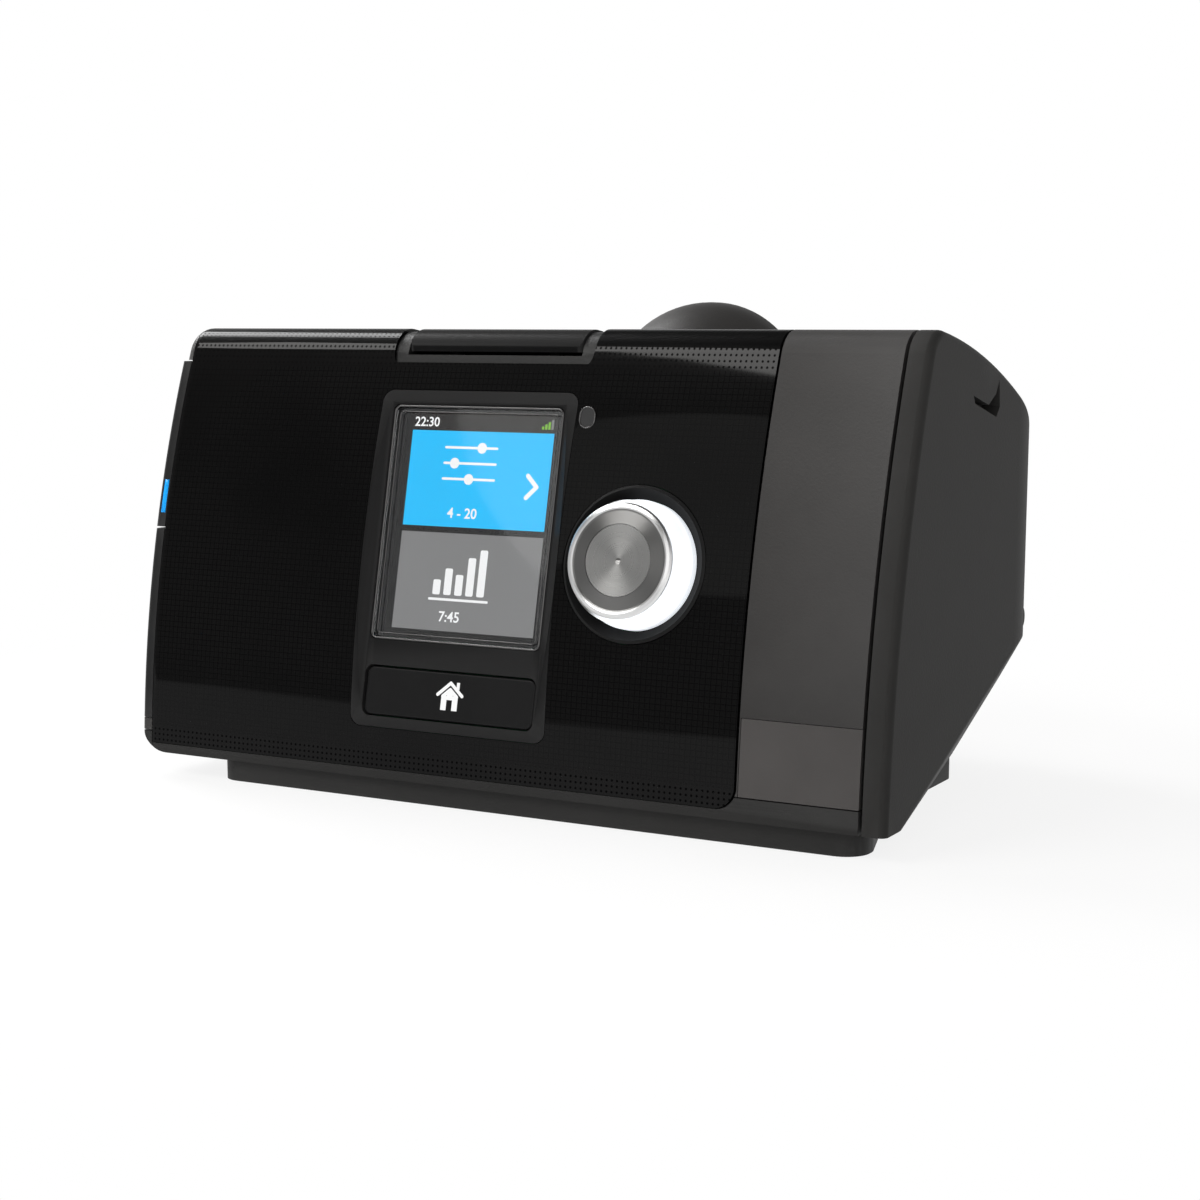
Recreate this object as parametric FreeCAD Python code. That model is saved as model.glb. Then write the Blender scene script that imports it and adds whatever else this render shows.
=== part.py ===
import FreeCAD, Part
import math
import os

# Bedside positive-airway-pressure machine with a slide-in heated water tub.
# Millimetres. X to the right, Y to the back, Z up.
# The origin is at table level, in the middle of the overall width and depth.

os.makedirs("parts", exist_ok=True)
V = FreeCAD.Vector
X_AXIS = V(1, 0, 0)
Y_AXIS = V(0, 1, 0)
Z_AXIS = V(0, 0, 1)

# ---------------------------------------------------------------- driving sizes
# casing
overall_width = 205.0
casing_depth = 128.0
top_level = 113.0
underside_level = 5.5
front_arc_radius = 320.0
front_arc_level = -9.0
front_round = 8.0
roof_slope = 8.0
top_arc_radius = 200.0
rear_corner = 45.0
rear_foot_level = 34.0
rear_foot_run = 28.0
keel_front = 9.0
keel_back = 91.0
keel_rise = 33.0
keel_run = 18.5
edge_round = 4.5
crisp_round = 1.8
low_corner_round = 8.0
wall = 2.6
parting_level = 11.0
overrun = 5.0

# clearances
seam = 0.6
tub_seam = 0.9
panel_gap = 0.15
moving_gap = 0.3
pin_gap = 0.06

# front panel and label trim
panel_left_inset = 3.6
panel_right_inset = 35.6
panel_bottom = 7.9
panel_corner = 5.0
panel_shadow = 0.45
panel_wrap = 46.0
panel_return = 22.0
panel_thickness = 2.2
backing_thickness = 2.0
backing_margin = 4.0
trim_thickness = 1.0
trim_top = 28.4

# plinth and feet
plinth_left_inset = 23.5
plinth_right_inset = 6.5
plinth_front = 1.6
plinth_waist_start = 50.0
plinth_back_inset = 32.0
plinth_wall = 3.0
plinth_round = 6.0
foot_radius = 6.0
foot_thickness = 2.0
foot_inset = 13.0

# display group, measured on the leaning front
dial_level = 60.4
display_centre = -9.8
bezel_width = 54.6
bezel_low = -42.8
bezel_high = 39.4
bezel_depth = 3.6
bezel_sink = 2.2
bezel_slope = 3.0
bezel_mouth = 6.0
lens_width = 47.4
lens_low = -21.4
lens_high = 35.7
lens_sink = 0.6
lens_thickness = 1.2
screen_width = 42.0
screen_low = -20.5
screen_high = 34.4
home_width = 47.4
home_low = -39.9
home_high = -28.1
home_thickness = 2.6
home_travel = 0.7
button_round = 2.0
board_depth = 8.0
board_thickness = 1.6
sensor_x = 20.6
sensor_v = 33.6
sensor_radius = 2.0
sensor_height = 5.0

# dial
dial_x = 37.4
dish_radius = 18.2
ring_radius = 14.9
ring_top_radius = 13.6
ring_rise = 5.2
knob_radius = 11.6
knob_rise = 7.6
knob_head_radius = 13.2
knob_head = 1.3
knob_edge_round = 1.1
knob_edge_drop = 0.2
cap_radius = 8.2
shaft_radius = 3.0
bushing_radius = 4.6
dial_travel = 0.6
encoder_size = 13.0
encoder_thickness = 6.0

# start button on the top front edge
start_left = -32.6
start_right = 15.6
start_front = 22.4
start_back = 34.0
start_frame = 3.8
start_frame_front = 1.6
start_frame_sink = 0.7
start_frame_round = 1.5
start_travel = 0.8
start_depth = 5.4
start_well = 12.0

# covers on the left side
cover_thickness = 2.0
cover_bottom = 14.2
cover_split = 62.5
cover_top = 104.6
cover_barrel = 2.1
cover_hinge_back = 45.0
cover_pin_radius = 0.75
cover_swing_relief = 0.9
hinge_lug_height = 9.0
strip_low = 66.4
strip_high = 74.6
strip_thickness = 0.7
side_plate_inset = 4.3
side_plate_thickness = 2.0

# memory card
card_height = 24.0
card_length = 32.0
card_thickness = 2.1
card_low = 26.0
card_proud = 0.9
card_travel = 0.8

# tub bay
bay_length = 74.1
bay_right_inset = 6.4
bay_front = 33.0
bay_back_inset = 26.0
bay_floor = 14.0
bay_wall = 2.4

# water tub
tub_play = 2.0
tub_bottom = 16.3
tub_split = 52.0
tub_lid_top = 84.4
tub_end_gap = 2.1
tub_foot_step = 14.0
tub_flare_top = 34.0
tub_wall = 2.0
tub_round = 6.0
seal_height = 1.2
port_level = 70.0
port_radius = 7.0
outlet_port_inset = 18.0
contact_width = 46.0
contact_depth = 44.0
tub_cover_wall = 2.4
grip_depth = 4.4
grip_lining = 1.4
grip_rim = 3.0
grip_front = 49.0
grip_back = 67.5
grip_level = 98.2
grip_drop = 5.4
grip_spur = 3.2
cover_boss_level = 42.0
cover_boss_radius = 3.0
cover_boss_inset = 6.0
hinge_barrel = 2.2
hinge_pin_radius = 1.0

# heater
heater_thickness = 2.0
heater_travel = 0.8
heater_play = 0.5
leaf_width = 5.0
leaf_span = 16.0
leaf_thickness = 0.5

# air outlet
outlet_x = 0.0
outlet_level = 87.5
hump_level = 91.0
hump_radius = 29.0
hump_length = 5.0
hump_rim = 3.0
outlet_bore = 9.0
outlet_pin_radius = 11.0
outlet_pin_length = 17.0
outlet_flange_radius = 16.0
outlet_spigot_radius = 12.9
outlet_seat_radius = 13.0
outlet_seat_depth = 23.0
seal_groove_back = 12.0
outlet_flange_thickness = 2.6

# filter at the back
filter_left = -55.0
filter_right = -11.0
filter_bottom = 38.0
filter_top = 74.0
filter_pocket_depth = 10.6
filter_thickness = 5.4
foam_thickness = 10.0
filter_frame = 2.0
filter_cover_thickness = 2.2
filter_barrel = 1.6
filter_pin_radius = 0.6
louvre_height = 1.6
louvre_pitch = 4.0

# power inlet and plug clip
inlet_x = 33.0
inlet_level = 48.0
inlet_width = 22.0
inlet_height = 16.0
inlet_length = 19.0
inlet_bore = 6.2
inlet_bore_depth = 12.0
inlet_pin_radius = 1.0
clip_pivot_level = 60.0
clip_reach = 14.0
clip_arm_width = 2.0
clip_thickness = 2.4
clip_standoff = 1.8
clip_pin_radius = 0.8

# blower
blower_x = -50.0
blower_back_inset = 52.0
scroll_start = 20.0
scroll_growth = 13.0
scroll_low = 57.0
scroll_high = 83.0
scroll_wall = 1.8
intake_radius = 11.0
impeller_radius = 18.0
blade_count = 9
motor_shaft_radius = 2.0
motor_radius = 18.5
motor_low = 36.0
bearing_radius = 5.5
bearing_height = 4.0
mount_post_level = 28.0
mount_circle = 12.5
mount_radius = 3.5

# boards
main_board_back = 34.0
main_board_side_gap = 4.2
main_board_bay_gap = 5.6
main_board_low = 14.0
main_board_high = 98.0
modem_left = -88.0
modem_right = -60.0
modem_low = 62.0
modem_high = 92.0
modem_thickness = 3.2
power_row_level = 88.0
coil_x = -6.0
coil_radius = 6.0
capacitor_x = -24.0
capacitor_radius = 5.0
chip_x = -39.0
chip_size = 10.0

# fasteners
screw_head_radius = 2.8
screw_shank_radius = 1.4
screw_boss_radius = 4.0
screw_boss_height = 16.0

# ---------------------------------------------------------------- derived places
half_width = overall_width / 2
panel_left = panel_left_inset - half_width
panel_right = half_width - panel_right_inset
plinth_left = plinth_left_inset - half_width
plinth_right = half_width - plinth_right_inset
plinth_waist = half_width - keel_run
plinth_back = casing_depth - plinth_back_inset
side_plate_x = side_plate_inset - half_width
bay_right = half_width - bay_right_inset
bay_left = bay_right - bay_length
bay_back = casing_depth - bay_back_inset
tub_left = bay_left + tub_play
tub_right = bay_right - tub_end_gap
tub_foot_right = tub_right - tub_foot_step
tub_front = bay_front + tub_play
tub_back = bay_back - tub_play
contact_centre_x = (tub_left + tub_foot_right) / 2
contact_centre_back = (tub_front + tub_back) / 2
blower_back = casing_depth - blower_back_inset
inlet_port_back = blower_back - scroll_start - scroll_growth / 2
outlet_port_back = bay_back - outlet_port_inset
outlet_seat_front = casing_depth - outlet_seat_depth
main_board_left = side_plate_x + main_board_side_gap
main_board_right = bay_left - bay_wall - main_board_bay_gap
arc_drop = underside_level - front_arc_level
dial_rise = dial_level - front_arc_level
front_lean = math.degrees(math.asin(dial_rise / front_arc_radius))
arc_foot = math.sqrt(front_arc_radius ** 2 - arc_drop ** 2)
dial_setback = arc_foot - math.sqrt(front_arc_radius ** 2 - dial_rise ** 2)
knob_reach = ((knob_rise - knob_edge_drop) * math.cos(math.radians(front_lean))
              + (knob_head_radius - knob_edge_round) * math.sin(math.radians(front_lean)))
knob_stand = knob_reach - dial_setback
overall_depth = knob_stand + casing_depth + outlet_flange_thickness + outlet_pin_length
front = knob_stand - overall_depth / 2
rear = front + casing_depth
inner_floor = underside_level + wall


def back(distance):
    """Y of a place measured back from the foremost point of the casing."""
    return front + distance


def front_y(level):
    """Y of the leaning front surface at a height."""
    rise = level - front_arc_level
    return back(arc_foot - math.sqrt(front_arc_radius ** 2 - rise ** 2))


front_point = V(0, front_y(dial_level), dial_level)


# ---------------------------------------------------------------- small tools
def box(x0, x1, y0, y1, z0, z1):
    return Part.makeBox(x1 - x0, y1 - y0, z1 - z0, V(x0, y0, z0))


def rod(radius, start, direction, length):
    return Part.makeCylinder(radius, length, start, direction)


def tube(outer, inner, start, direction, length):
    return rod(outer, start, direction, length).cut(rod(inner, start, direction, length))


def edges_along(shape, direction):
    chosen = []
    for edge in shape.Edges:
        if edge.Curve.TypeId == "Part::GeomLine":
            if abs(edge.tangentAt(edge.FirstParameter).dot(direction)) > 0.999:
                chosen.append(edge)
    return chosen


def round_box(x0, x1, y0, y1, z0, z1, direction, radius):
    block = box(x0, x1, y0, y1, z0, z1)
    return block.makeFillet(radius, edges_along(block, direction))


def prism(points, direction):
    return Part.Face(Part.makePolygon(points + [points[0]])).extrude(direction)


def turned(points, centre, direction):
    """Solid of revolution of an outline given as (radius, distance along the axis)."""
    outline = []
    for radius, along in points:
        outline.append(V(radius, 0, along))
    outline.append(outline[0])
    solid = Part.Face(Part.makePolygon(outline)).revolve(V(0, 0, 0), Z_AXIS, 360)
    solid.Placement = FreeCAD.Placement(centre, FreeCAD.Rotation(Z_AXIS, direction))
    return solid


def on_front(shape):
    """Carry a shape from the flat layout (x, depth, height) onto the leaning front."""
    moved = shape.copy()
    moved.rotate(V(0, 0, 0), X_AXIS, -front_lean)
    moved.translate(front_point)
    return moved


def save(name, shape):
    solids = shape.Solids
    piece = solids[0] if len(solids) == 1 else Part.makeCompound(solids)
    piece.exportStep("parts/" + name + ".step")
    print(name, "solids", len(solids), "valid", shape.isValid(), "volume", round(shape.Volume, 1))


# ---------------------------------------------------------------- casing form
def side_profile(inset):
    """Side view of the casing with its foremost point at Y = 0, running on past the back.

    Every line is moved in by the inset; the plan cuts the back to length.
    """
    front_reach = front_arc_radius - inset
    low = underside_level + inset
    front_centre = V(0, arc_foot, front_arc_level)
    drop = low - front_arc_level
    under_front = front_centre + V(0, -math.sqrt(front_reach ** 2 - drop ** 2), drop)
    round_rise = top_level - front_round - front_arc_level
    round_reach = front_arc_radius - front_round
    round_centre = front_centre + V(0, -math.sqrt(round_reach ** 2 - round_rise ** 2), round_rise)
    outward = (round_centre - front_centre).normalize()
    front_top = front_centre + outward * front_reach
    belly = front_centre + (under_front + front_top - front_centre * 2).normalize() * front_reach
    slope = math.radians(roof_slope)
    backward = V(0, math.sin(slope), math.cos(slope))
    crest = round_centre + (outward + backward).normalize() * (front_round - inset)
    top_start = round_centre + backward * (front_round - inset)

    top_reach = top_arc_radius - inset
    top_centre = round_centre - backward * (top_arc_radius - front_round)
    run = casing_depth + overrun - top_centre.y
    rear_top = top_centre + V(0, run, math.sqrt(top_reach ** 2 - run ** 2))
    top_middle = top_centre + (rear_top + top_start - top_centre * 2).normalize() * top_reach

    foot_rise = rear_foot_level - underside_level
    foot_length = math.hypot(rear_foot_run, foot_rise)
    low_shift = inset * (foot_length - rear_foot_run) / foot_rise
    under_back = V(0, casing_depth - rear_foot_run - low_shift, low)
    rear_low = under_back + V(0, rear_foot_run, foot_rise) * 1.5

    return Part.Wire([
        Part.Arc(under_front, belly, front_top).toShape(),
        Part.Arc(front_top, crest, top_start).toShape(),
        Part.Arc(top_start, top_middle, rear_top).toShape(),
        Part.makeLine(rear_top, rear_low),
        Part.makeLine(rear_low, under_back),
        Part.makeLine(under_back, under_front),
    ])


def keel(side, inset):
    """Wedge that slopes the lower edge of one side of the casing up to the back."""
    low_front = V(side * half_width, keel_front, underside_level)
    high_back = V(side * half_width, keel_back, underside_level + keel_rise)
    low_back = V(side * (half_width - keel_run), keel_back, underside_level)
    along = high_back - low_front
    down = low_back - high_back
    outward = along.cross(down).normalize()
    if outward.z > 0:
        outward = outward * -1
    shift = outward * -inset
    corners = [
        low_front - along - down * 0.3 + shift,
        high_back + along - down * 0.3 + shift,
        high_back + along + down * 2 + shift,
        low_front - along + down * 2 + shift,
    ]
    return prism(corners, outward * casing_depth)


def low_corner(inset):
    """What the rounded lower edge of the left side leaves off."""
    radius = low_corner_round - inset
    left = inset - half_width
    low = underside_level + inset
    length = casing_depth + 2 * overrun
    block = box(left - overrun, left + radius, -overrun, casing_depth + overrun, low - overrun,
                low + radius)
    return block.cut(rod(radius, V(left + radius, -overrun, low + radius), Y_AXIS, length))


def make_casing(inset, rounding):
    body = Part.Face(side_profile(inset)).extrude(V(overall_width + 2 * overrun, 0, 0))
    body.translate(V(-half_width - overrun, 0, 0))
    plan = box(inset - half_width, half_width - inset, -casing_depth, casing_depth - inset, 0,
               2 * top_level)
    corners = [edge for edge in edges_along(plan, Z_AXIS) if edge.CenterOfMass.y > 0]
    body = body.common(plan.makeFillet(rear_corner - inset, corners))
    body = body.cut(keel(-1, inset)).cut(keel(1, inset)).Solids[0]
    radius = rounding - inset
    if radius > 0.5:
        rim = []
        for edge in body.Edges:
            off_centre = abs(edge.CenterOfMass.x) > half_width / 2
            above_floor = edge.BoundBox.ZMax > underside_level + inset + 0.1
            if off_centre and above_floor and edge.BoundBox.XLength < half_width / 2:
                rim.append(edge)
        body = body.makeFillet(radius, rim)
    body = body.cut(low_corner(inset))
    body.translate(V(0, front, 0))
    return body


casings = {}


def casing(inset):
    """The closed outer form of the casing, every face moved in by the inset."""
    if inset not in casings:
        casings[inset] = make_casing(inset, edge_round)
    return casings[inset].copy()


def skin(inset, thickness):
    return casing(inset).cut(casing(inset + thickness))


crisp_casing = make_casing(0, crisp_round)


def crisp_skin(thickness):
    """Outer skin with the sharper edges of the covers at both ends."""
    return crisp_casing.cut(casing(thickness))


def low_left_corner():
    """Sharper lower end of the left front edge, below the covers."""
    limit = box(-half_width - 1, panel_left, front - 10, back(cover_hinge_back), 0,
                cover_bottom + 1)
    return crisp_skin(wall).common(limit)


def slab(low, high):
    """Everything between two heights."""
    return box(-overall_width, overall_width, front - 20, front + 2 * overall_depth, low, high)


def panel_zone(grow):
    zone = box(panel_left - grow, panel_right + grow, front - 10, back(panel_wrap) + grow,
               panel_bottom - grow, top_level + 10)
    corner = []
    for edge in edges_along(zone, Y_AXIS):
        if edge.CenterOfMass.x > 0 and edge.CenterOfMass.z < dial_level:
            corner.append(edge)
    zone = zone.makeFillet(panel_corner + grow, corner)
    below = box(-overall_width, overall_width, back(panel_return) + grow, rear, 0,
                top_level - panel_return)
    return zone.cut(below)


def trim_zone(grow):
    return box(panel_right + seam - grow, bay_right + grow, front - 10, back(bay_front),
               parting_level - grow, trim_top + grow)


# ---------------------------------------------------------------- openings in the front
def start_prism(grow, low):
    return box(start_left - grow, start_right + grow, back(start_front) - grow,
               back(start_back) + grow, low, top_level + 10)


def start_frame_prism(grow):
    low = top_level - start_well
    return round_box(start_left - start_frame - grow, start_right + start_frame + grow,
                     back(start_front - start_frame_front) - grow,
                     back(start_back + start_frame_front) + grow, low, top_level + 10, Z_AXIS,
                     start_frame_round)


def bezel_block(grow, depth0, depth1):
    half = bezel_width / 2 + grow
    return round_box(display_centre - half, display_centre + half, depth0, depth1,
                     bezel_low - grow, bezel_high + grow, Y_AXIS, 3.0)


def dial_rod(radius, depth0, depth1):
    return rod(radius, V(dial_x, depth0, 0), Y_AXIS, depth1 - depth0)


def sensor_form(grow, depth0, depth1):
    half = sensor_height / 2 - sensor_radius
    radius = sensor_radius + grow
    low = rod(radius, V(sensor_x, depth0, sensor_v - half), Y_AXIS, depth1 - depth0)
    high = rod(radius, V(sensor_x, depth0, sensor_v + half), Y_AXIS, depth1 - depth0)
    middle = box(sensor_x - radius, sensor_x + radius, depth0, depth1,
                 sensor_v - half, sensor_v + half)
    return low.fuse(middle).fuse(high).removeSplitter()


def front_openings(grow, depth0, depth1):
    cut = bezel_block(grow, depth0, depth1)
    cut = cut.fuse(dial_rod(dish_radius + grow, depth0, depth1))
    cut = cut.fuse(sensor_form(grow, depth0, depth1))
    return on_front(cut)


# ---------------------------------------------------------------- left side covers
cover_axis_x = -half_width + cover_barrel
cover_axis_y = back(cover_hinge_back)
cover_spans = {
    "sd_card_cover": (cover_bottom, cover_split - seam / 2),
    "adapter_cover": (cover_split + seam / 2, cover_top),
}


def cover_zone(low, high):
    flat = box(-half_width - 1, side_plate_x, front - 10, cover_axis_y, low, high)
    barrel_radius = cover_barrel + moving_gap
    barrel = rod(barrel_radius, V(cover_axis_x, cover_axis_y, low), Z_AXIS, high - low)
    relief = box(-half_width - 1, cover_axis_x, cover_axis_y - 1,
                 cover_axis_y + cover_barrel + cover_swing_relief, low, high)
    return flat.fuse(barrel).fuse(relief)


def hinge_lug(low, high):
    middle = (low + high) / 2
    base = middle - hinge_lug_height / 2
    lug = rod(cover_barrel - moving_gap / 2, V(cover_axis_x, cover_axis_y, base), Z_AXIS,
              hinge_lug_height)
    web = box(cover_axis_x, side_plate_x + side_plate_thickness, cover_axis_y - 1.4,
              cover_axis_y + 1.4, base, base + hinge_lug_height)
    pin_hole = rod(cover_pin_radius, V(cover_axis_x, cover_axis_y, low), Z_AXIS, high - low)
    return lug.fuse(web).cut(pin_hole)


def side_cover(low, high):
    plate = crisp_skin(cover_thickness)
    limit = box(-half_width - 1, panel_left - panel_gap, front - 10, cover_axis_y, low, high)
    plate = plate.common(limit)
    barrel = rod(cover_barrel, V(cover_axis_x, cover_axis_y, low), Z_AXIS, high - low)
    cover = plate.fuse(barrel)
    middle = (low + high) / 2
    notch = hinge_lug_height / 2 + moving_gap
    reach = cover_barrel + moving_gap
    cover = cover.cut(box(-half_width - 1, 0, cover_axis_y - reach, cover_axis_y + reach,
                          middle - notch, middle + notch))
    bore = rod(cover_pin_radius + pin_gap, V(cover_axis_x, cover_axis_y, low), Z_AXIS,
               high - low)
    return cover.cut(bore)


def side_cover_pins():
    pins = []
    for low, high in cover_spans.values():
        start = V(cover_axis_x, cover_axis_y, low + 2)
        pins.append(rod(cover_pin_radius, start, Z_AXIS, high - low - 4))
    return Part.makeCompound(pins)


# ---------------------------------------------------------------- screws
front_screws = [(-74.0, 9.0), (60.0, 9.0)]
bay_screws = [
    (bay_left - bay_wall - screw_boss_radius + 0.5, 92.0),
    (bay_left - bay_wall - screw_boss_radius + 0.5, 44.0),
]
screw_places = front_screws + bay_screws


def screw_boss(x, distance):
    base = V(x, back(distance), parting_level)
    return tube(screw_boss_radius, screw_shank_radius, base, Z_AXIS, screw_boss_height)


# ---------------------------------------------------------------- main housing
def hump():
    """Rounded hump over the air outlet: a ball end that runs into a drum."""
    centre = V(outlet_x, rear - hump_length, hump_level)
    ball = Part.makeSphere(hump_radius, centre)
    ball = ball.cut(box(-overall_width, overall_width, centre.y + 1, rear + overall_depth, 0,
                        2 * top_level))
    drum = rod(hump_radius, centre, Y_AXIS, hump_length)
    rim = []
    for edge in drum.Edges:
        if edge.CenterOfMass.y > rear - 0.1:
            rim.append(edge)
    return ball.fuse(drum.makeFillet(hump_rim, rim)).removeSplitter()


def bay_mouth(gap):
    """Low part of the way out of the bay, where the sloped underside would bar the tub."""
    return box(bay_left + gap, bay_right + tub_seam + 0.1, back(bay_front) + gap,
               back(bay_back) - gap, bay_floor + gap, tub_split)


def tub_bay():
    roof = top_level + 1
    outer = box(bay_left - bay_wall, bay_right, back(bay_front) - bay_wall,
                back(bay_back) + bay_wall, parting_level, roof)
    inner = box(bay_left, bay_right + 1, back(bay_front), back(bay_back),
                parting_level - 1, roof + 1)
    end = box(bay_right - bay_wall, bay_right, front, rear, parting_level, roof)
    end = end.cut(inner)
    walls = outer.cut(inner).fuse(end)
    backing = skin(panel_thickness, backing_thickness + panel_gap)
    backing = backing.common(panel_zone(backing_margin + panel_gap))
    walls = walls.common(casing(wall + panel_gap)).cut(backing).cut(bay_mouth(0))
    for distance in (inlet_port_back, outlet_port_back):
        hole = rod(port_radius + 1.6, V(bay_left - 4, back(distance), port_level), X_AXIS, 6)
        walls = walls.cut(hole)
    for x, distance in bay_screws:
        walls = walls.fuse(screw_boss(x, distance))
    return walls


def filter_pocket_box(grow, depth):
    return box(filter_left - grow, filter_right + grow, rear - depth, rear + 1,
               filter_bottom - grow, filter_top + grow)


def filter_axis():
    return V(filter_left + moving_gap + filter_barrel, rear - filter_barrel, 0)


def main_housing():
    shell = casing(0).fuse(hump()).cut(casing(wall)).fuse(low_left_corner())
    recess = panel_zone(panel_gap).cut(casing(panel_thickness))
    backing = skin(panel_thickness, backing_thickness).common(panel_zone(backing_margin))
    start_surround = start_frame_prism(0).common(skin(start_frame_sink, panel_thickness))
    shell = shell.cut(recess).fuse(backing.cut(recess)).fuse(start_surround)
    trim_recess = trim_zone(panel_gap).cut(casing(trim_thickness))
    shell = shell.cut(trim_recess)

    side_block = box(-half_width + 1, side_plate_x + side_plate_thickness, front,
                     back(cover_hinge_back + 5), parting_level, cover_top + 3)
    side_block = side_block.common(casing(1.0)).cut(recess)
    shell = shell.fuse(side_block).cut(bay_mouth(0))

    pocket = filter_pocket_box(filter_frame, filter_pocket_depth + filter_frame)
    pocket = pocket.common(casing(0.5))
    shell = shell.fuse(pocket)
    inlet_frame = box(inlet_x - inlet_width / 2 - 2, inlet_x + inlet_width / 2 + 2,
                      rear - 8, rear, inlet_level - inlet_height / 2 - 2,
                      inlet_level + inlet_height / 2 + 2).common(casing(0.5))
    shell = shell.fuse(inlet_frame)
    for x, distance in front_screws:
        shell = shell.fuse(rod(screw_boss_radius, V(x, back(distance), parting_level), Z_AXIS,
                               screw_boss_height))

    shell = shell.common(slab(parting_level, 2 * top_level))
    shell = shell.common(box(-overall_width, bay_right, front - 10, rear + 10, 0, 2 * top_level))
    shell = shell.cut(cover_zone(cover_bottom - moving_gap, cover_top + moving_gap))
    for low, high in cover_spans.values():
        shell = shell.fuse(hinge_lug(low, high))

    shell = shell.cut(front_openings(0.2, -3, 14))
    shell = shell.cut(start_prism(moving_gap, top_level - start_well))
    shell = shell.cut(filter_pocket_box(0, filter_pocket_depth))
    grille = box(filter_left + 4, filter_right - 4, rear - 20, rear,
                 filter_bottom + 4, filter_top - 4)
    shell = shell.cut(grille)
    axis = filter_axis()
    pin_hole = rod(filter_pin_radius, V(axis.x, axis.y, filter_bottom - 1.5), Z_AXIS,
                   filter_top - filter_bottom + 3)
    shell = shell.cut(pin_hole)
    inlet_hole = box(inlet_x - inlet_width / 2, inlet_x + inlet_width / 2, rear - 20,
                     rear + 1, inlet_level - inlet_height / 2, inlet_level + inlet_height / 2)
    shell = shell.cut(inlet_hole)
    seat = rod(outlet_seat_radius, V(outlet_x, back(outlet_seat_front) - 3, outlet_level),
               Y_AXIS, overall_depth)
    shell = shell.cut(seat)
    card_y = back(main_board_back) - card_thickness - 0.5
    slot = box(side_plate_x - 1, side_plate_x + 4, card_y - 0.2, card_y + card_thickness + 0.2,
               card_low - 0.2, card_low + card_height + 0.2)
    shell = shell.cut(slot)
    shell = shell.cut(adapter_port_box(0.2))
    for x, distance in screw_places:
        pilot = rod(screw_shank_radius, V(x, back(distance), 0), Z_AXIS, parting_level + 12)
        shell = shell.cut(pilot)
    for side in (-1, 1):
        shell = shell.fuse(clip_ear(side))
    return shell


# ---------------------------------------------------------------- base tray
def plinth_outline(inset):
    right_front = V(plinth_right - inset, back(plinth_front) + inset, 0)
    corners = [
        V(plinth_left + inset, back(plinth_front) + inset, 0),
        right_front,
        V(plinth_right - inset, back(plinth_front + 8), 0),
        V(plinth_waist - inset, back(plinth_waist_start), 0),
        V(plinth_waist - inset, back(plinth_back) - inset, 0),
        V(plinth_left + inset, back(plinth_back) - inset, 0),
    ]
    return corners


def plinth():
    height = underside_level + 0.4
    outer = prism(plinth_outline(0), V(0, 0, height))
    outer = outer.makeFillet(plinth_round, edges_along(outer, Z_AXIS))
    inner = prism(plinth_outline(plinth_wall), V(0, 0, height))
    inner = inner.makeFillet(plinth_round - plinth_wall, edges_along(inner, Z_AXIS))
    ring = outer.cut(inner)
    for x, y in foot_places():
        ring = ring.fuse(rod(foot_radius + 1.6, V(x, y, 0), Z_AXIS, height))
    ring = ring.common(outer)
    for x, y in foot_places():
        ring = ring.cut(rod(foot_radius + 0.1, V(x, y, 0), Z_AXIS, foot_thickness))
    return ring


def foot_places():
    left = plinth_left + foot_inset
    right = plinth_waist - foot_inset
    near = back(plinth_front + foot_inset)
    far = back(plinth_back - foot_inset)
    return [(left, near), (right, near), (left, far), (right, far)]


def heater_block(grow, low, high):
    half_x = contact_width / 2 + grow
    half_y = contact_depth / 2 + grow
    y = back(contact_centre_back)
    return round_box(contact_centre_x - half_x, contact_centre_x + half_x, y - half_y,
                     y + half_y, low, high, Z_AXIS, 4.0)


def mount_places():
    places = []
    for step in range(3):
        angle = math.radians(30 + 120 * step)
        places.append((blower_x + mount_circle * math.cos(angle),
                       back(blower_back) + mount_circle * math.sin(angle)))
    return places


def base_tray():
    shell = skin(0, wall).fuse(low_left_corner()).common(slab(0, parting_level - moving_gap))
    shell = shell.cut(panel_zone(panel_gap).cut(casing(panel_thickness)))
    backing = skin(panel_thickness, backing_thickness).common(panel_zone(backing_margin))
    backing = backing.cut(panel_zone(panel_gap).cut(casing(panel_thickness)))
    shell = shell.fuse(backing.common(slab(0, parting_level - moving_gap)))
    shell = shell.common(box(-overall_width, bay_right, front - 10, rear + 10, 0, top_level))

    floor = box(bay_left, bay_right - bay_wall, back(bay_front), back(bay_back),
                bay_floor - bay_wall, bay_floor)
    ribs = []
    for x in (bay_left + 2, contact_centre_x - contact_width / 2 - 4,
              contact_centre_x + contact_width / 2 + 2):
        ribs.append(box(x, x + 2, back(bay_front) + 1, back(bay_back) - 1,
                        underside_level + 1, bay_floor - 1))
    ribs = Part.makeCompound(ribs).common(casing(0.5))
    floor = floor.common(casing(wall + moving_gap)).fuse(ribs)
    floor = floor.cut(heater_block(heater_play + 0.1, underside_level + wall, bay_floor + 1))
    tray = shell.fuse(floor).fuse(plinth())
    for x, y in mount_places():
        post = rod(mount_radius + 1, V(x, y, underside_level + 1), Z_AXIS,
                   mount_post_level - underside_level - 1)
        tray = tray.fuse(post)
    for x, distance in screw_places:
        tray = tray.cut(rod(screw_shank_radius + 0.1, V(x, back(distance), 0), Z_AXIS,
                            parting_level))
        tray = tray.cut(rod(screw_head_radius + 0.2, V(x, back(distance), 0), Z_AXIS,
                            underside_level + 0.8))
    return tray


def rubber_feet():
    feet = []
    for x, y in foot_places():
        feet.append(rod(foot_radius, V(x, y, 0), Z_AXIS, foot_thickness))
    return Part.makeCompound(feet)


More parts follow.
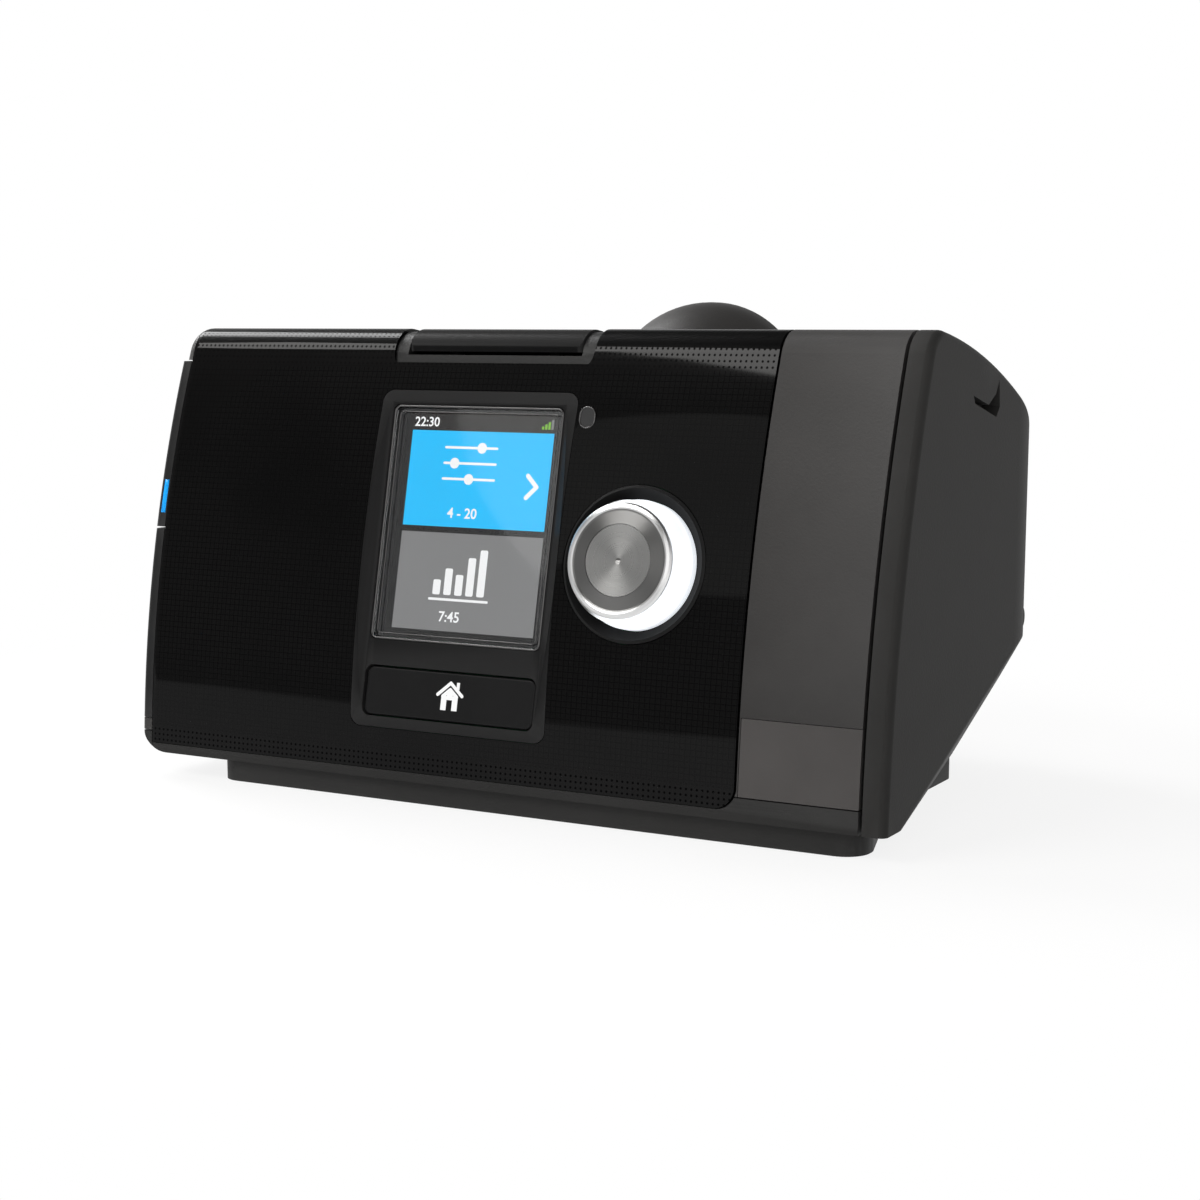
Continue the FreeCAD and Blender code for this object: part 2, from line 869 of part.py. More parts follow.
def casing_screws():
    screws = []
    for x, distance in screw_places:
        head_top = underside_level + 0.8
        head = rod(screw_head_radius, V(x, back(distance), head_top - 2), Z_AXIS, 2)
        shank = rod(screw_shank_radius, V(x, back(distance), head_top), Z_AXIS, 14)
        socket = rod(1.3, V(x, back(distance), head_top - 2), Z_AXIS, 1.2)
        screws.append(head.fuse(shank).cut(socket))
    return Part.makeCompound(screws)


# ---------------------------------------------------------------- front pieces
def front_panel():
    zone = panel_zone(0)
    narrowed = zone.copy()
    narrowed.translate(V(-panel_shadow, 0, 0))
    panel = skin(0, panel_thickness).common(zone.common(narrowed))
    panel = panel.cut(start_frame_prism(panel_gap))
    return panel.cut(front_openings(panel_gap, -4, 14))


def label_panel():
    return skin(0, trim_thickness).common(trim_zone(0))


def bezel_slope_cut():
    """Space in front of the bezel's floor, with sides that slope out to the casing's face."""
    half = bezel_width / 2 - bezel_slope
    low = bezel_low + bezel_slope
    high = bezel_high - bezel_slope
    wider = bezel_slope * bezel_mouth / bezel_sink
    rings = []
    for depth, grow in ((bezel_sink, 0), (bezel_sink - bezel_mouth, wider)):
        corners = []
        for x, v in ((-half - grow, low - grow), (half + grow, low - grow),
                     (half + grow, high + grow), (-half - grow, high + grow)):
            corners.append(V(display_centre + x, depth, v))
        rings.append(Part.makePolygon(corners + [corners[0]]))
    return Part.makeLoft(rings, True, True)


def display_bezel():
    block = bezel_block(0, -bezel_depth, bezel_sink + bezel_depth).cut(bezel_slope_cut())
    half = lens_width / 2
    window = round_box(display_centre - half - panel_gap, display_centre + half + panel_gap,
                       -1, bezel_sink + lens_sink + lens_thickness + 0.1,
                       lens_low - panel_gap, lens_high + panel_gap, Y_AXIS, 1.5)
    screen_hole = box(display_centre - screen_width / 2 - 0.3,
                      display_centre + screen_width / 2 + 0.3, 0, 10,
                      screen_low - 0.3, screen_high + 0.3)
    home_hole = round_box(display_centre - home_width / 2 - moving_gap,
                          display_centre + home_width / 2 + moving_gap, -1, 10,
                          home_low - moving_gap, home_high + moving_gap, Y_AXIS, button_round)
    bezel = on_front(block.cut(window).cut(screen_hole).cut(home_hole))
    return bezel.common(casing(0))


def display_lens():
    half = lens_width / 2
    depth = bezel_sink + lens_sink
    return on_front(round_box(display_centre - half, display_centre + half, depth,
                              depth + lens_thickness, lens_low, lens_high, Y_AXIS, 1.4))


def lcd_module():
    half = screen_width / 2
    depth = bezel_sink + lens_sink + lens_thickness + 0.2
    return on_front(box(display_centre - half, display_centre + half, depth,
                        board_depth - 0.2, screen_low, screen_high))


def home_button():
    half = home_width / 2
    plate = round_box(display_centre - half, display_centre + half, bezel_sink + 0.5,
                      bezel_sink + 0.5 + home_thickness, home_low, home_high, Y_AXIS,
                      button_round)
    front_rim = []
    for edge in plate.Edges:
        if edge.BoundBox.YMax < bezel_sink + 0.51:
            front_rim.append(edge)
    plate = plate.makeFillet(0.6, front_rim)
    middle = (home_low + home_high) / 2
    plunger_start = bezel_sink + 0.5 + home_thickness
    plunger_end = board_depth - 1.4 - home_travel
    plunger = rod(2.0, V(display_centre, plunger_start, middle), Y_AXIS,
                  plunger_end - plunger_start)
    return on_front(plate.fuse(plunger))


def tact_switch(x, height):
    body = box(x - 3, x + 3, board_depth - 1.0, board_depth, height - 3, height + 3)
    stem = rod(1.6, V(x, board_depth - 1.3, height), Y_AXIS, 0.3)
    return body.fuse(stem)


def home_switch():
    return on_front(tact_switch(display_centre, (home_low + home_high) / 2))


def display_board():
    board = box(display_centre - bezel_width / 2 - 2, dial_x + 18, board_depth,
                board_depth + board_thickness, -46, 40)
    hole = dial_rod(bushing_radius + 0.1, 0, 20)
    return on_front(board.cut(hole))


def light_sensor_lens():
    depth = sensor_v ** 2 / (2 * front_arc_radius)
    return on_front(sensor_form(0, depth - 0.1, depth + 2.4))


# ---------------------------------------------------------------- dial
def dial_turned(points):
    return on_front(turned(points, V(dial_x, 0, 0), Y_AXIS))


def dial_dish():
    outer = dish_radius - 0.05
    inner = ring_radius + 0.2
    return dial_turned([(outer, 0.1), (outer - 0.7, -0.3), (inner + 0.4, 1.6), (inner, 1.9),
                        (inner, 3.4), (outer, 3.4)])


def light_ring():
    bore = knob_radius + moving_gap
    return dial_turned([(ring_radius, 3.4), (ring_radius, 0.4), (ring_radius - 0.4, -1.2),
                        (ring_top_radius + 0.5, -ring_rise + 0.6), (ring_top_radius, -ring_rise),
                        (bore, -ring_rise), (bore, 3.4)])


def dial_knob():
    lip = cap_radius + 0.1
    under = -knob_rise + knob_head
    brow = -knob_rise + knob_edge_drop
    return dial_turned([(shaft_radius + 0.05, 1.8), (knob_radius, 1.8), (knob_radius, under),
                        (knob_head_radius, under), (knob_head_radius, brow + 0.6),
                        (knob_head_radius - 0.4, brow + 0.2),
                        (knob_head_radius - knob_edge_round, brow),
                        (knob_head_radius - 1.9, brow + 0.2), (lip, -knob_rise),
                        (lip, -knob_rise + 1.7), (shaft_radius + 0.05, -knob_rise + 1.7)])


def dial_cap():
    return dial_turned([(0, -knob_rise + 0.35), (cap_radius * 0.6, -knob_rise + 0.25),
                        (cap_radius, -knob_rise + 0.1), (cap_radius, -knob_rise + 1.7),
                        (0, -knob_rise + 1.7)])


encoder_front = board_depth + board_thickness


def dial_shaft():
    stem = rod(shaft_radius, V(dial_x, -knob_rise + 1.7, 0), Y_AXIS,
               knob_rise - 1.7 + encoder_front + 1.5)
    return on_front(stem)


def encoder_bushing():
    start = 3.6
    return on_front(tube(bushing_radius, shaft_radius + 0.08, V(dial_x, start, 0), Y_AXIS,
                         encoder_front - start))


def encoder_body():
    half = encoder_size / 2
    body = box(dial_x - half, dial_x + half, encoder_front,
               encoder_front + encoder_thickness, -half, half)
    return on_front(body.cut(dial_rod(shaft_radius + 0.3, encoder_front - 1,
                                      encoder_front + encoder_thickness - 1.2)))


def encoder_plunger():
    start = encoder_front + 1.5 + 0.05
    length = encoder_thickness - 1.2 - 1.55 - dial_travel - 0.1
    return on_front(dial_rod(shaft_radius - 0.2, start, start + length))


# ---------------------------------------------------------------- start button
start_mid_back = (start_front + start_back) / 2


def start_button():
    block = start_prism(0, top_level - start_depth).common(casing(0.1))
    upright = edges_along(block, Z_AXIS)
    block = block.makeFillet(1.2, upright)
    for x in (start_left + 10, start_right - 10):
        stem = rod(1.8, V(x, back(start_mid_back), top_level - start_depth - 3.2), Z_AXIS, 4)
        block = block.fuse(stem)
    return block


start_board_level = top_level - start_depth - 3.2 - start_travel - 0.1 - 1.4


def start_switch_board():
    board = box(start_left, start_right, back(start_mid_back) - 3.6, back(start_mid_back) + 6,
                start_board_level - board_thickness, start_board_level)
    return board


def start_switches():
    switches = []
    for x in (start_left + 10, start_right - 10):
        base = box(x - 3, x + 3, back(start_mid_back) - 3, back(start_mid_back) + 3,
                   start_board_level, start_board_level + 1.1)
        stem = rod(1.6, V(x, back(start_mid_back), start_board_level + 1.1), Z_AXIS, 0.3)
        switches.append(base.fuse(stem))
    return Part.makeCompound(switches)


# ---------------------------------------------------------------- boards and card
def main_board():
    return box(main_board_left, main_board_right, back(main_board_back),
               back(main_board_back) + board_thickness, main_board_low, main_board_high)


def adapter_port_box(grow):
    middle = (cover_split + cover_top) / 2
    y = back(main_board_back)
    return box(side_plate_x + 0.4 - grow, main_board_left + 8 + grow, y - 7 - grow, y + grow,
               middle - 11 - grow, middle + 11 + grow)


def adapter_port():
    block = adapter_port_box(0)
    bounds = block.BoundBox
    slot = box(bounds.XMin - 1, bounds.XMin + 5, bounds.YMin + 2.6, bounds.YMax - 2.6,
               bounds.ZMin + 2, bounds.ZMax - 2)
    return block.cut(slot)


card_y0 = back(main_board_back) - card_thickness - 0.5
card_x0 = side_plate_x - card_proud


def sd_card():
    card = box(card_x0, card_x0 + card_length, card_y0, card_y0 + card_thickness, card_low,
               card_low + card_height)
    corner = [edge for edge in edges_along(card, Y_AXIS)
              if edge.CenterOfMass.x > card_x0 + 5 and edge.CenterOfMass.z > card_low + 5]
    return card.makeChamfer(3.5, corner)


def sd_card_socket():
    x0 = side_plate_x + side_plate_thickness + 0.3
    x1 = card_x0 + card_length + card_travel + 1.4
    body = box(x0, x1, card_y0 - 1.2, back(main_board_back), card_low - 1.5,
               card_low + card_height + 1.5)
    cavity = box(x0 - 1, card_x0 + card_length + card_travel + 0.3, card_y0 - 0.15,
                 card_y0 + card_thickness + 0.15, card_low - 0.15,
                 card_low + card_height + 0.15)
    return body.cut(cavity)


def modem_module():
    y = back(main_board_back) + board_thickness
    return box(modem_left, modem_right, y, y + modem_thickness, modem_low, modem_high)


def power_block():
    y = back(main_board_back) + board_thickness
    coil = rod(coil_radius, V(coil_x, y, power_row_level), Y_AXIS, 7)
    can = rod(capacitor_radius, V(capacitor_x, y, power_row_level), Y_AXIS, 12)
    half = chip_size / 2
    chip = box(chip_x - half, chip_x + half, y, y + 2, power_row_level - half,
               power_row_level + half)
    return Part.makeCompound([coil, can, chip])


# ---------------------------------------------------------------- water tub
def tub_outline(x_left, x_right, foot_right, low, high):
    flare = tub_flare_top - tub_bottom + low
    return [V(x_left, 0, low), V(foot_right, 0, low), V(x_right, 0, flare), V(x_right, 0, high),
            V(x_left, 0, high)]


def tub_base():
    outer = prism(tub_outline(tub_left, tub_right, tub_foot_right, tub_bottom, tub_split),
                  V(0, tub_back - tub_front, 0))
    outer.translate(V(0, back(tub_front), 0))
    outer = outer.makeFillet(tub_round, edges_along(outer, Z_AXIS))
    inset = tub_wall
    cavity = prism(tub_outline(tub_left + inset, tub_right - inset, tub_foot_right - inset,
                               tub_bottom + inset, tub_split + 1),
                   V(0, tub_back - tub_front - 2 * inset, 0))
    cavity.translate(V(0, back(tub_front) + inset, 0))
    cavity = cavity.makeFillet(tub_round - inset, edges_along(cavity, Z_AXIS))
    base = outer.cut(cavity)
    base = base.cut(heater_block(0.1, tub_bottom - 1, tub_bottom + inset + 1))
    for distance in (tub_front + 12, tub_back - 12):
        base = base.fuse(hinge_knuckle(distance - 4, distance + 4, tub_split - 6, 0.5))
    return base


tub_axis_x = tub_right + hinge_barrel
tub_axis_z = tub_split - hinge_barrel + 1


def hinge_knuckle(start, end, web_level, into):
    barrel = rod(hinge_barrel, V(tub_axis_x, back(start), tub_axis_z), Y_AXIS, end - start)
    web = box(tub_right - into, tub_axis_x, back(start), back(end), tub_axis_z - hinge_barrel,
              tub_axis_z)
    bore = rod(hinge_pin_radius, V(tub_axis_x, back(start) - 1, tub_axis_z), Y_AXIS,
               end - start + 2)
    return barrel.fuse(web).cut(bore)


def tub_lid():
    low = tub_split + seal_height
    outer = round_box(tub_left, tub_right, back(tub_front), back(tub_back), low, tub_lid_top,
                      Z_AXIS, tub_round)
    crown = [edge for edge in outer.Edges if edge.BoundBox.ZMin > tub_lid_top - 0.1]
    outer = outer.makeFillet(3.0, crown)
    cavity = round_box(tub_left + tub_wall, tub_right - tub_wall, back(tub_front) + tub_wall,
                       back(tub_back) - tub_wall, low - 1, tub_lid_top - tub_wall, Z_AXIS,
                       tub_round - tub_wall)
    lid = outer.cut(cavity)
    for distance in (inlet_port_back, outlet_port_back):
        spout = rod(port_radius + 1.5, V(tub_left, back(distance), port_level), X_AXIS, 9)
        lid = lid.fuse(spout)
    for distance in (inlet_port_back, outlet_port_back):
        lid = lid.cut(rod(port_radius, V(tub_left - 1, back(distance), port_level), X_AXIS, 12))
    middle = (tub_front + tub_back) / 2
    barrel = rod(hinge_barrel, V(tub_axis_x, back(middle) - 6, tub_axis_z), Y_AXIS, 12)
    arm = box(tub_right + 0.4, tub_axis_x + hinge_barrel, back(middle) - 6, back(middle) + 6,
              tub_axis_z, low + 4)
    tie = box(tub_right - 1, tub_axis_x + hinge_barrel, back(middle) - 6, back(middle) + 6,
              low + 1, low + 4)
    bore = rod(hinge_pin_radius + pin_gap, V(tub_axis_x, back(middle) - 8, tub_axis_z), Y_AXIS,
               16)
    return lid.fuse(tie).fuse(barrel.fuse(arm).cut(bore))


def tub_seal():
    outer = round_box(tub_left, tub_right, back(tub_front), back(tub_back), tub_split,
                      tub_split + seal_height, Z_AXIS, tub_round)
    inner = round_box(tub_left + tub_wall, tub_right - tub_wall, back(tub_front) + tub_wall,
                      back(tub_back) - tub_wall, tub_split - 1, tub_split + 3, Z_AXIS,
                      tub_round - tub_wall)
    return outer.cut(inner)


def tub_hinge_pin():
    return rod(hinge_pin_radius, V(tub_axis_x, back(tub_front) + 8, tub_axis_z), Y_AXIS,
               tub_back - tub_front - 16)


def tub_contact_plate():
    plug = heater_block(0, tub_bottom, tub_bottom + tub_wall)
    flange = heater_block(2.0, tub_bottom + tub_wall, tub_bottom + tub_wall + 0.8)
    return plug.fuse(flange)


def finger_recess():
    """Grip let into the top back of the tub cover: a slot that runs out in a curved spur."""
    x = half_width - grip_depth
    slot = [V(x, back(grip_front), grip_level), V(x, back(grip_front + 1), grip_level - 1.8),
            V(x, back(grip_back - 2.4), grip_level - grip_drop), V(x, back(grip_back), grip_level - 3),
            V(x, back(grip_back - 0.8), grip_level + grip_spur),
            V(x, back(grip_back - 3), grip_level), V(x, back(grip_back - 8), grip_level - 2.4)]
    return prism(slot, V(grip_depth + 2, 0, 0))


def tub_cover():
    right_part = box(bay_right + tub_seam, half_width + 5, front - 10, rear + 10, 0, 2 * top_level)
    cover = crisp_skin(tub_cover_wall).common(right_part.fuse(bay_mouth(moving_gap)))
    liner = finger_recess()
    grown = box(half_width - grip_depth - grip_lining, half_width, back(grip_front - grip_rim),
                back(grip_back + grip_rim), grip_level - grip_drop - grip_rim,
                grip_level + grip_spur + grip_rim)
    grown = grown.common(casing(0.4))
    cover = cover.fuse(grown).cut(liner)
    for distance in (tub_front + cover_boss_inset, tub_back - cover_boss_inset):
        boss = rod(cover_boss_radius, V(tub_right, back(distance), cover_boss_level), X_AXIS,
                   half_width - tub_cover_wall - tub_right + 0.5)
        cover = cover.fuse(boss)
    return cover


# ---------------------------------------------------------------- heater
def heater_plate():
    top = tub_bottom - moving_gap
    plate = heater_block(0, top - heater_thickness, top)
    return plate


def heater_springs():
    """Four bowed leaf springs on the floor of the tray, under the plate."""
    low = inner_floor
    high = tub_bottom - moving_gap - heater_thickness - heater_travel - moving_gap
    rise = high - low
    leaves = []
    for side_x in (-1, 1):
        for side_y in (-1, 1):
            x = contact_centre_x + side_x * (contact_width / 2 - 12)
            y = back(contact_centre_back) + side_y * (contact_depth / 2 - 8)
            half = leaf_span / 2
            outer = Part.Arc(V(x - half, y, low), V(x, y, low + rise),
                             V(x + half, y, low)).toShape()
            inner = Part.Arc(V(x + half - leaf_thickness, y, low),
                             V(x, y, low + rise - leaf_thickness),
                             V(x - half + leaf_thickness, y, low)).toShape()
            foot_a = Part.makeLine(V(x + half, y, low), V(x + half - leaf_thickness, y, low))
            foot_b = Part.makeLine(V(x - half + leaf_thickness, y, low), V(x - half, y, low))
            leaf = Part.Face(Part.Wire([outer, foot_a, inner, foot_b]))
            leaf = leaf.extrude(V(0, leaf_width, 0))
            leaf.translate(V(0, -leaf_width / 2, 0))
            leaves.append(leaf)
    return Part.makeCompound(leaves)


# ---------------------------------------------------------------- air path
def port_seals():
    seals = []
    for distance in (inlet_port_back, outlet_port_back):
        start = V(bay_left - bay_wall, back(distance), port_level)
        sleeve = tube(port_radius + 1.5, port_radius, start, X_AXIS, bay_wall + 1.6)
        lip = tube(port_radius + 3, port_radius, V(bay_left + 0.1, back(distance), port_level),
                   X_AXIS, tub_play - moving_gap - 0.2)
        seals.append(sleeve.fuse(lip))
    return Part.makeCompound(seals)


def scroll_face(extra):
    """Spiral outline of the blower casing, growing round the impeller."""
    points = []
    steps = 12
    for step in range(steps + 1):
        angle = math.radians(-90 + 360 * step / steps)
        radius = scroll_start + scroll_growth * step / steps + extra
        points.append(V(blower_x + radius * math.cos(angle),
                        back(blower_back) + radius * math.sin(angle), 0))
    spiral = Part.BSplineCurve()
    spiral.interpolate(points)
    close = Part.makeLine(points[-1], points[0])
    return Part.Face(Part.Wire([spiral.toShape(), close]))


scroll_exit_x = blower_x + 28.0
scroll_side = scroll_start + scroll_growth


def scroll_solid(extra, low, high, exit_x):
    body = scroll_face(extra).extrude(V(0, 0, high - low))
    body.translate(V(0, 0, low))
    exit_box = box(blower_x, exit_x, back(blower_back) - scroll_side - extra,
                   back(blower_back) - scroll_start + extra, low, high)
    return body.fuse(exit_box)


def blower_scroll():
    outer = scroll_solid(scroll_wall, scroll_low, scroll_high, scroll_exit_x)
    inner = scroll_solid(0, scroll_low + scroll_wall, scroll_high - scroll_wall,
                         scroll_exit_x + 2)
    shell = outer.cut(inner)
    centre = V(blower_x, back(blower_back), 0)
    shell = shell.cut(rod(intake_radius, centre + V(0, 0, scroll_high - 5), Z_AXIS, 10))
    return shell.cut(rod(bearing_radius + 1, centre + V(0, 0, scroll_low - 5), Z_AXIS, 10))


scroll_split = (scroll_low + scroll_high) / 2


def blower_lower():
    return blower_scroll().common(slab(scroll_low - 5, scroll_split))


def blower_upper():
    return blower_scroll().common(slab(scroll_split, scroll_high + 5))


def impeller():
    centre = V(blower_x, back(blower_back), 0)
    low = scroll_low + scroll_wall + 1.4
    disc = rod(impeller_radius, centre + V(0, 0, low), Z_AXIS, 1.2)
    hub = turned([(0, 0), (6, 0), (5, 8), (3, 11), (0, 12)], centre + V(0, 0, low), Z_AXIS)
    wheel = disc.fuse(hub)
    height = scroll_high - scroll_wall - 1.6 - low - 1.2
    for step in range(blade_count):
        angle = 360.0 * step / blade_count
        outer = Part.Arc(V(5, 0, 0), V(12, 2.4, 0), V(impeller_radius - 0.4, 8, 0)).toShape()
        inner = Part.Arc(V(impeller_radius - 0.4, 6.9, 0), V(12, 1.3, 0),
                         V(5, -1.0, 0)).toShape()
        tip = Part.makeLine(V(impeller_radius - 0.4, 8, 0), V(impeller_radius - 0.4, 6.9, 0))
        root = Part.makeLine(V(5, -1.0, 0), V(5, 0, 0))
        blade = Part.Face(Part.Wire([outer, tip, inner, root])).extrude(V(0, 0, height))
        blade = blade.common(rod(impeller_radius - 0.1, V(0, 0, -1), Z_AXIS, height + 2))
        blade.rotate(V(0, 0, 0), Z_AXIS, angle)
        blade.translate(centre + V(0, 0, low + 1.1))
        wheel = wheel.fuse(blade)
    bore = rod(motor_shaft_radius, centre + V(0, 0, low - 1), Z_AXIS, 9)
    return wheel.cut(bore)


rotor_low = motor_low + 8.0
rotor_high = scroll_low - 8.0


def motor_can():
    centre = V(blower_x, back(blower_back), 0)
    inner = motor_radius - 1.5
    seat = bearing_radius + 0.02
    top = scroll_low - 0.1
    return turned([(seat, motor_low + 1.6), (seat, motor_low + 6), (seat + 2, motor_low + 6),
                   (seat + 2, motor_low + 3.4), (inner, motor_low + 3.4), (inner, top - 2),
                   (seat + 2, top - 2), (seat + 2, top - 6), (seat, top - 6), (seat, top),
                   (motor_radius, top), (motor_radius, motor_low),
                   (motor_shaft_radius + 0.6, motor_low),
                   (motor_shaft_radius + 0.6, motor_low + 1.6)], centre, Z_AXIS)


def motor_stator():
    centre = V(blower_x, back(blower_back), rotor_low)
    ring = tube(motor_radius - 1.6, 10.2, centre, Z_AXIS, rotor_high - rotor_low)
    slots = []
    for step in range(6):
        slot = box(11.5, 15.2, -2.2, 2.2, -1, rotor_high - rotor_low + 1)
        slot.rotate(V(0, 0, 0), Z_AXIS, 60 * step)
        slot.translate(centre)
        slots.append(slot)
    return ring.cut(Part.makeCompound(slots))


def motor_rotor():
    centre = V(blower_x, back(blower_back), rotor_low)
    return tube(9.8, motor_shaft_radius, centre, Z_AXIS, rotor_high - rotor_low)


def motor_shaft():
    low = motor_low + 1.8
    high = scroll_low + scroll_wall + 1.4 + 8
    return rod(motor_shaft_radius, V(blower_x, back(blower_back), low), Z_AXIS, high - low)


def motor_bearings():
    rings = []
    for low in (motor_low + 1.8, scroll_low - 0.2 - bearing_height):
        rings.append(tube(bearing_radius, motor_shaft_radius + 0.05,
                          V(blower_x, back(blower_back), low), Z_AXIS, bearing_height))
    return Part.makeCompound(rings)


def blower_mounts():
    posts = []
    for x, y in mount_places():
        posts.append(turned([(0, mount_post_level), (mount_radius, mount_post_level),
                             (mount_radius - 1, (mount_post_level + motor_low) / 2),
                             (mount_radius, motor_low), (0, motor_low)], V(x, y, 0), Z_AXIS))
    return Part.makeCompound(posts)


def duct_ring(radius, x):
    circle = Part.Circle(V(x, back(inlet_port_back), port_level), X_AXIS, radius)
    return Part.Wire([circle.toShape()])


def duct_mouth(extra, x):
    low = scroll_low + scroll_wall - extra
    high = scroll_high - scroll_wall + extra
    y0 = back(blower_back) - scroll_side - extra
    y1 = back(blower_back) - scroll_start + extra
    return Part.makePolygon([V(x, y0, low), V(x, y1, low), V(x, y1, high), V(x, y0, high),
                             V(x, y0, low)])


def air_duct():
    """Duct that changes from the blower's oblong mouth to the round tub port."""
    start = scroll_exit_x + 0.1
    end = bay_left - bay_wall
    outer = Part.makeLoft([duct_mouth(scroll_wall, start), duct_ring(port_radius + 1.8, end - 6)],
                          True, True)
    inner = Part.makeLoft([duct_mouth(0, start), duct_ring(port_radius, end - 6)], True, True)
    spout = tube(port_radius + 1.8, port_radius, V(end - 6, back(inlet_port_back), port_level),
                 X_AXIS, 6)
    return outer.cut(inner).fuse(spout)


plenum_left = outlet_x - 16.0
plenum_front = outlet_seat_front - 32.0
plenum_low = 58.0
plenum_high = 94.0


def outlet_plenum():
    right = bay_left - bay_wall
    rear_face = back(outlet_seat_front) - 0.2
    outer = box(plenum_left, right, back(plenum_front), rear_face, plenum_low, plenum_high + 1)
    outer = outer.common(casing(wall + 0.1))
    inner = box(plenum_left + 1.8, right - 1.8, back(plenum_front) + 1.8, rear_face - 1.8,
                plenum_low + 1.8, plenum_high - 0.8)
    inner = inner.common(casing(wall + 2.0))
    chamber = outer.cut(inner)
    side_port = rod(port_radius, V(right - 3, back(outlet_port_back), port_level), X_AXIS, 5)
    back_port = rod(outlet_bore, V(outlet_x, rear_face - 3, outlet_level), Y_AXIS, 5)
    return chamber.cut(side_port).cut(back_port)


def flow_sensor():
    y = back(plenum_front)
    return box(-4, 10, y - 5, y - 0.1, 70, 84)


def muffler_foam():
    foam_back = rear - filter_pocket_depth - filter_frame - 0.2
    return round_box(filter_left, filter_right, foam_back - foam_thickness, foam_back,
                     filter_bottom, filter_top, Y_AXIS, 3.0)


# ---------------------------------------------------------------- air outlet
def outlet_connector():
    spigot = outlet_seat_depth
    flange_end = spigot + outlet_flange_thickness
    pin_end = flange_end + outlet_pin_length
    groove = spigot - seal_groove_back
    outline = [(outlet_bore, 0), (outlet_spigot_radius, 0), (outlet_spigot_radius, groove),
               (outlet_spigot_radius - 1.1, groove), (outlet_spigot_radius - 1.1, groove + 2),
               (outlet_spigot_radius, groove + 2), (outlet_spigot_radius, spigot),
               (outlet_flange_radius, spigot), (outlet_flange_radius, spigot + 1.6),
               (outlet_flange_radius - 1.2, flange_end), (outlet_pin_radius, flange_end),
               (outlet_pin_radius, pin_end - 0.6), (outlet_pin_radius - 0.6, pin_end),
               (outlet_bore, pin_end)]
    return turned(outline, V(outlet_x, back(outlet_seat_front), outlet_level),
                  Y_AXIS)


def outlet_seal():
    groove = V(outlet_x, rear - seal_groove_back + 0.05, outlet_level)
    return tube(outlet_seat_radius - 0.02, outlet_spigot_radius - 1.08, groove, Y_AXIS, 1.9)


# ---------------------------------------------------------------- filter at the back
def air_filter():
    depth = rear - filter_pocket_depth
    return box(filter_left + 0.3, filter_right - 0.3, depth, depth + filter_thickness,
               filter_bottom + 0.3, filter_top - 0.3)


def filter_cover():
    axis = filter_axis()
    low = filter_bottom + moving_gap
    high = filter_top - moving_gap
    plate = box(axis.x, filter_right - moving_gap, rear - filter_cover_thickness, rear, low, high)
    plate = plate.fuse(rod(filter_barrel, V(axis.x, axis.y, low), Z_AXIS, high - low))
    louvres = []
    level = low + 5
    while level + louvre_height < high - 4:
        louvres.append(box(axis.x + 5, filter_right - 6, rear - 5, rear + 1, level,
                           level + louvre_height))
        level = level + louvre_pitch
    plate = plate.cut(Part.makeCompound(louvres))
    return plate.cut(rod(filter_pin_radius + pin_gap, V(axis.x, axis.y, low - 1), Z_AXIS,
                         high - low + 2))


def filter_hinge_pin():
    axis = filter_axis()
    return rod(filter_pin_radius, V(axis.x, axis.y, filter_bottom - 1.4), Z_AXIS,
               filter_top - filter_bottom + 2.8)


# ---------------------------------------------------------------- power inlet and clip
def power_inlet():
    face = rear - 0.4
    body = box(inlet_x - inlet_width / 2 + 0.1, inlet_x + inlet_width / 2 - 0.1,
               face - inlet_length, face, inlet_level - inlet_height / 2 + 0.1,
               inlet_level + inlet_height / 2 - 0.1)
    bore = rod(inlet_bore, V(inlet_x, face - inlet_bore_depth, inlet_level), Y_AXIS,
               inlet_bore_depth + 1)
    return body.cut(bore)


def inlet_pin():
    face = rear - 0.4
    return rod(inlet_pin_radius, V(inlet_x, face - inlet_bore_depth, inlet_level), Y_AXIS,
               inlet_bore_depth - 2)


clip_axis_y = rear + clip_standoff
clip_half = inlet_width / 2 + 1.6


def clip_ear(side):
    inner = clip_half + clip_arm_width + moving_gap
    x0 = inlet_x + side * inner
    x1 = inlet_x + side * (inner + 2)
    low_x = min(x0, x1)
    ear = rod(1.9, V(low_x, clip_axis_y, clip_pivot_level), X_AXIS, 2)
    root = box(low_x, low_x + 2, rear - 1, clip_axis_y, clip_pivot_level - 1.9,
               clip_pivot_level + 1.9)
    hole = rod(clip_pin_radius, V(low_x - 1, clip_axis_y, clip_pivot_level), X_AXIS, 4)
    return ear.fuse(root).cut(hole)


def retention_clip():
    pieces = []
    y0 = clip_axis_y - clip_thickness / 2
    y1 = clip_axis_y + clip_thickness / 2
    for side in (-1, 1):
        x0 = inlet_x + side * clip_half
        x1 = inlet_x + side * (clip_half + clip_arm_width)
        arm = box(min(x0, x1), max(x0, x1), y0, y1, clip_pivot_level,
                  clip_pivot_level + clip_reach)
        eye = rod(clip_thickness / 2, V(min(x0, x1), clip_axis_y, clip_pivot_level), X_AXIS,
                  clip_arm_width)
        pieces.append(arm)
        pieces.append(eye)
    bar = box(inlet_x - clip_half - clip_arm_width, inlet_x + clip_half + clip_arm_width, y0, y1,
              clip_pivot_level + clip_reach - 3, clip_pivot_level + clip_reach)
    bail = bar.multiFuse(pieces)
    bore = rod(clip_pin_radius + pin_gap, V(inlet_x - 30, clip_axis_y, clip_pivot_level), X_AXIS,
               60)
    return bail.cut(bore)


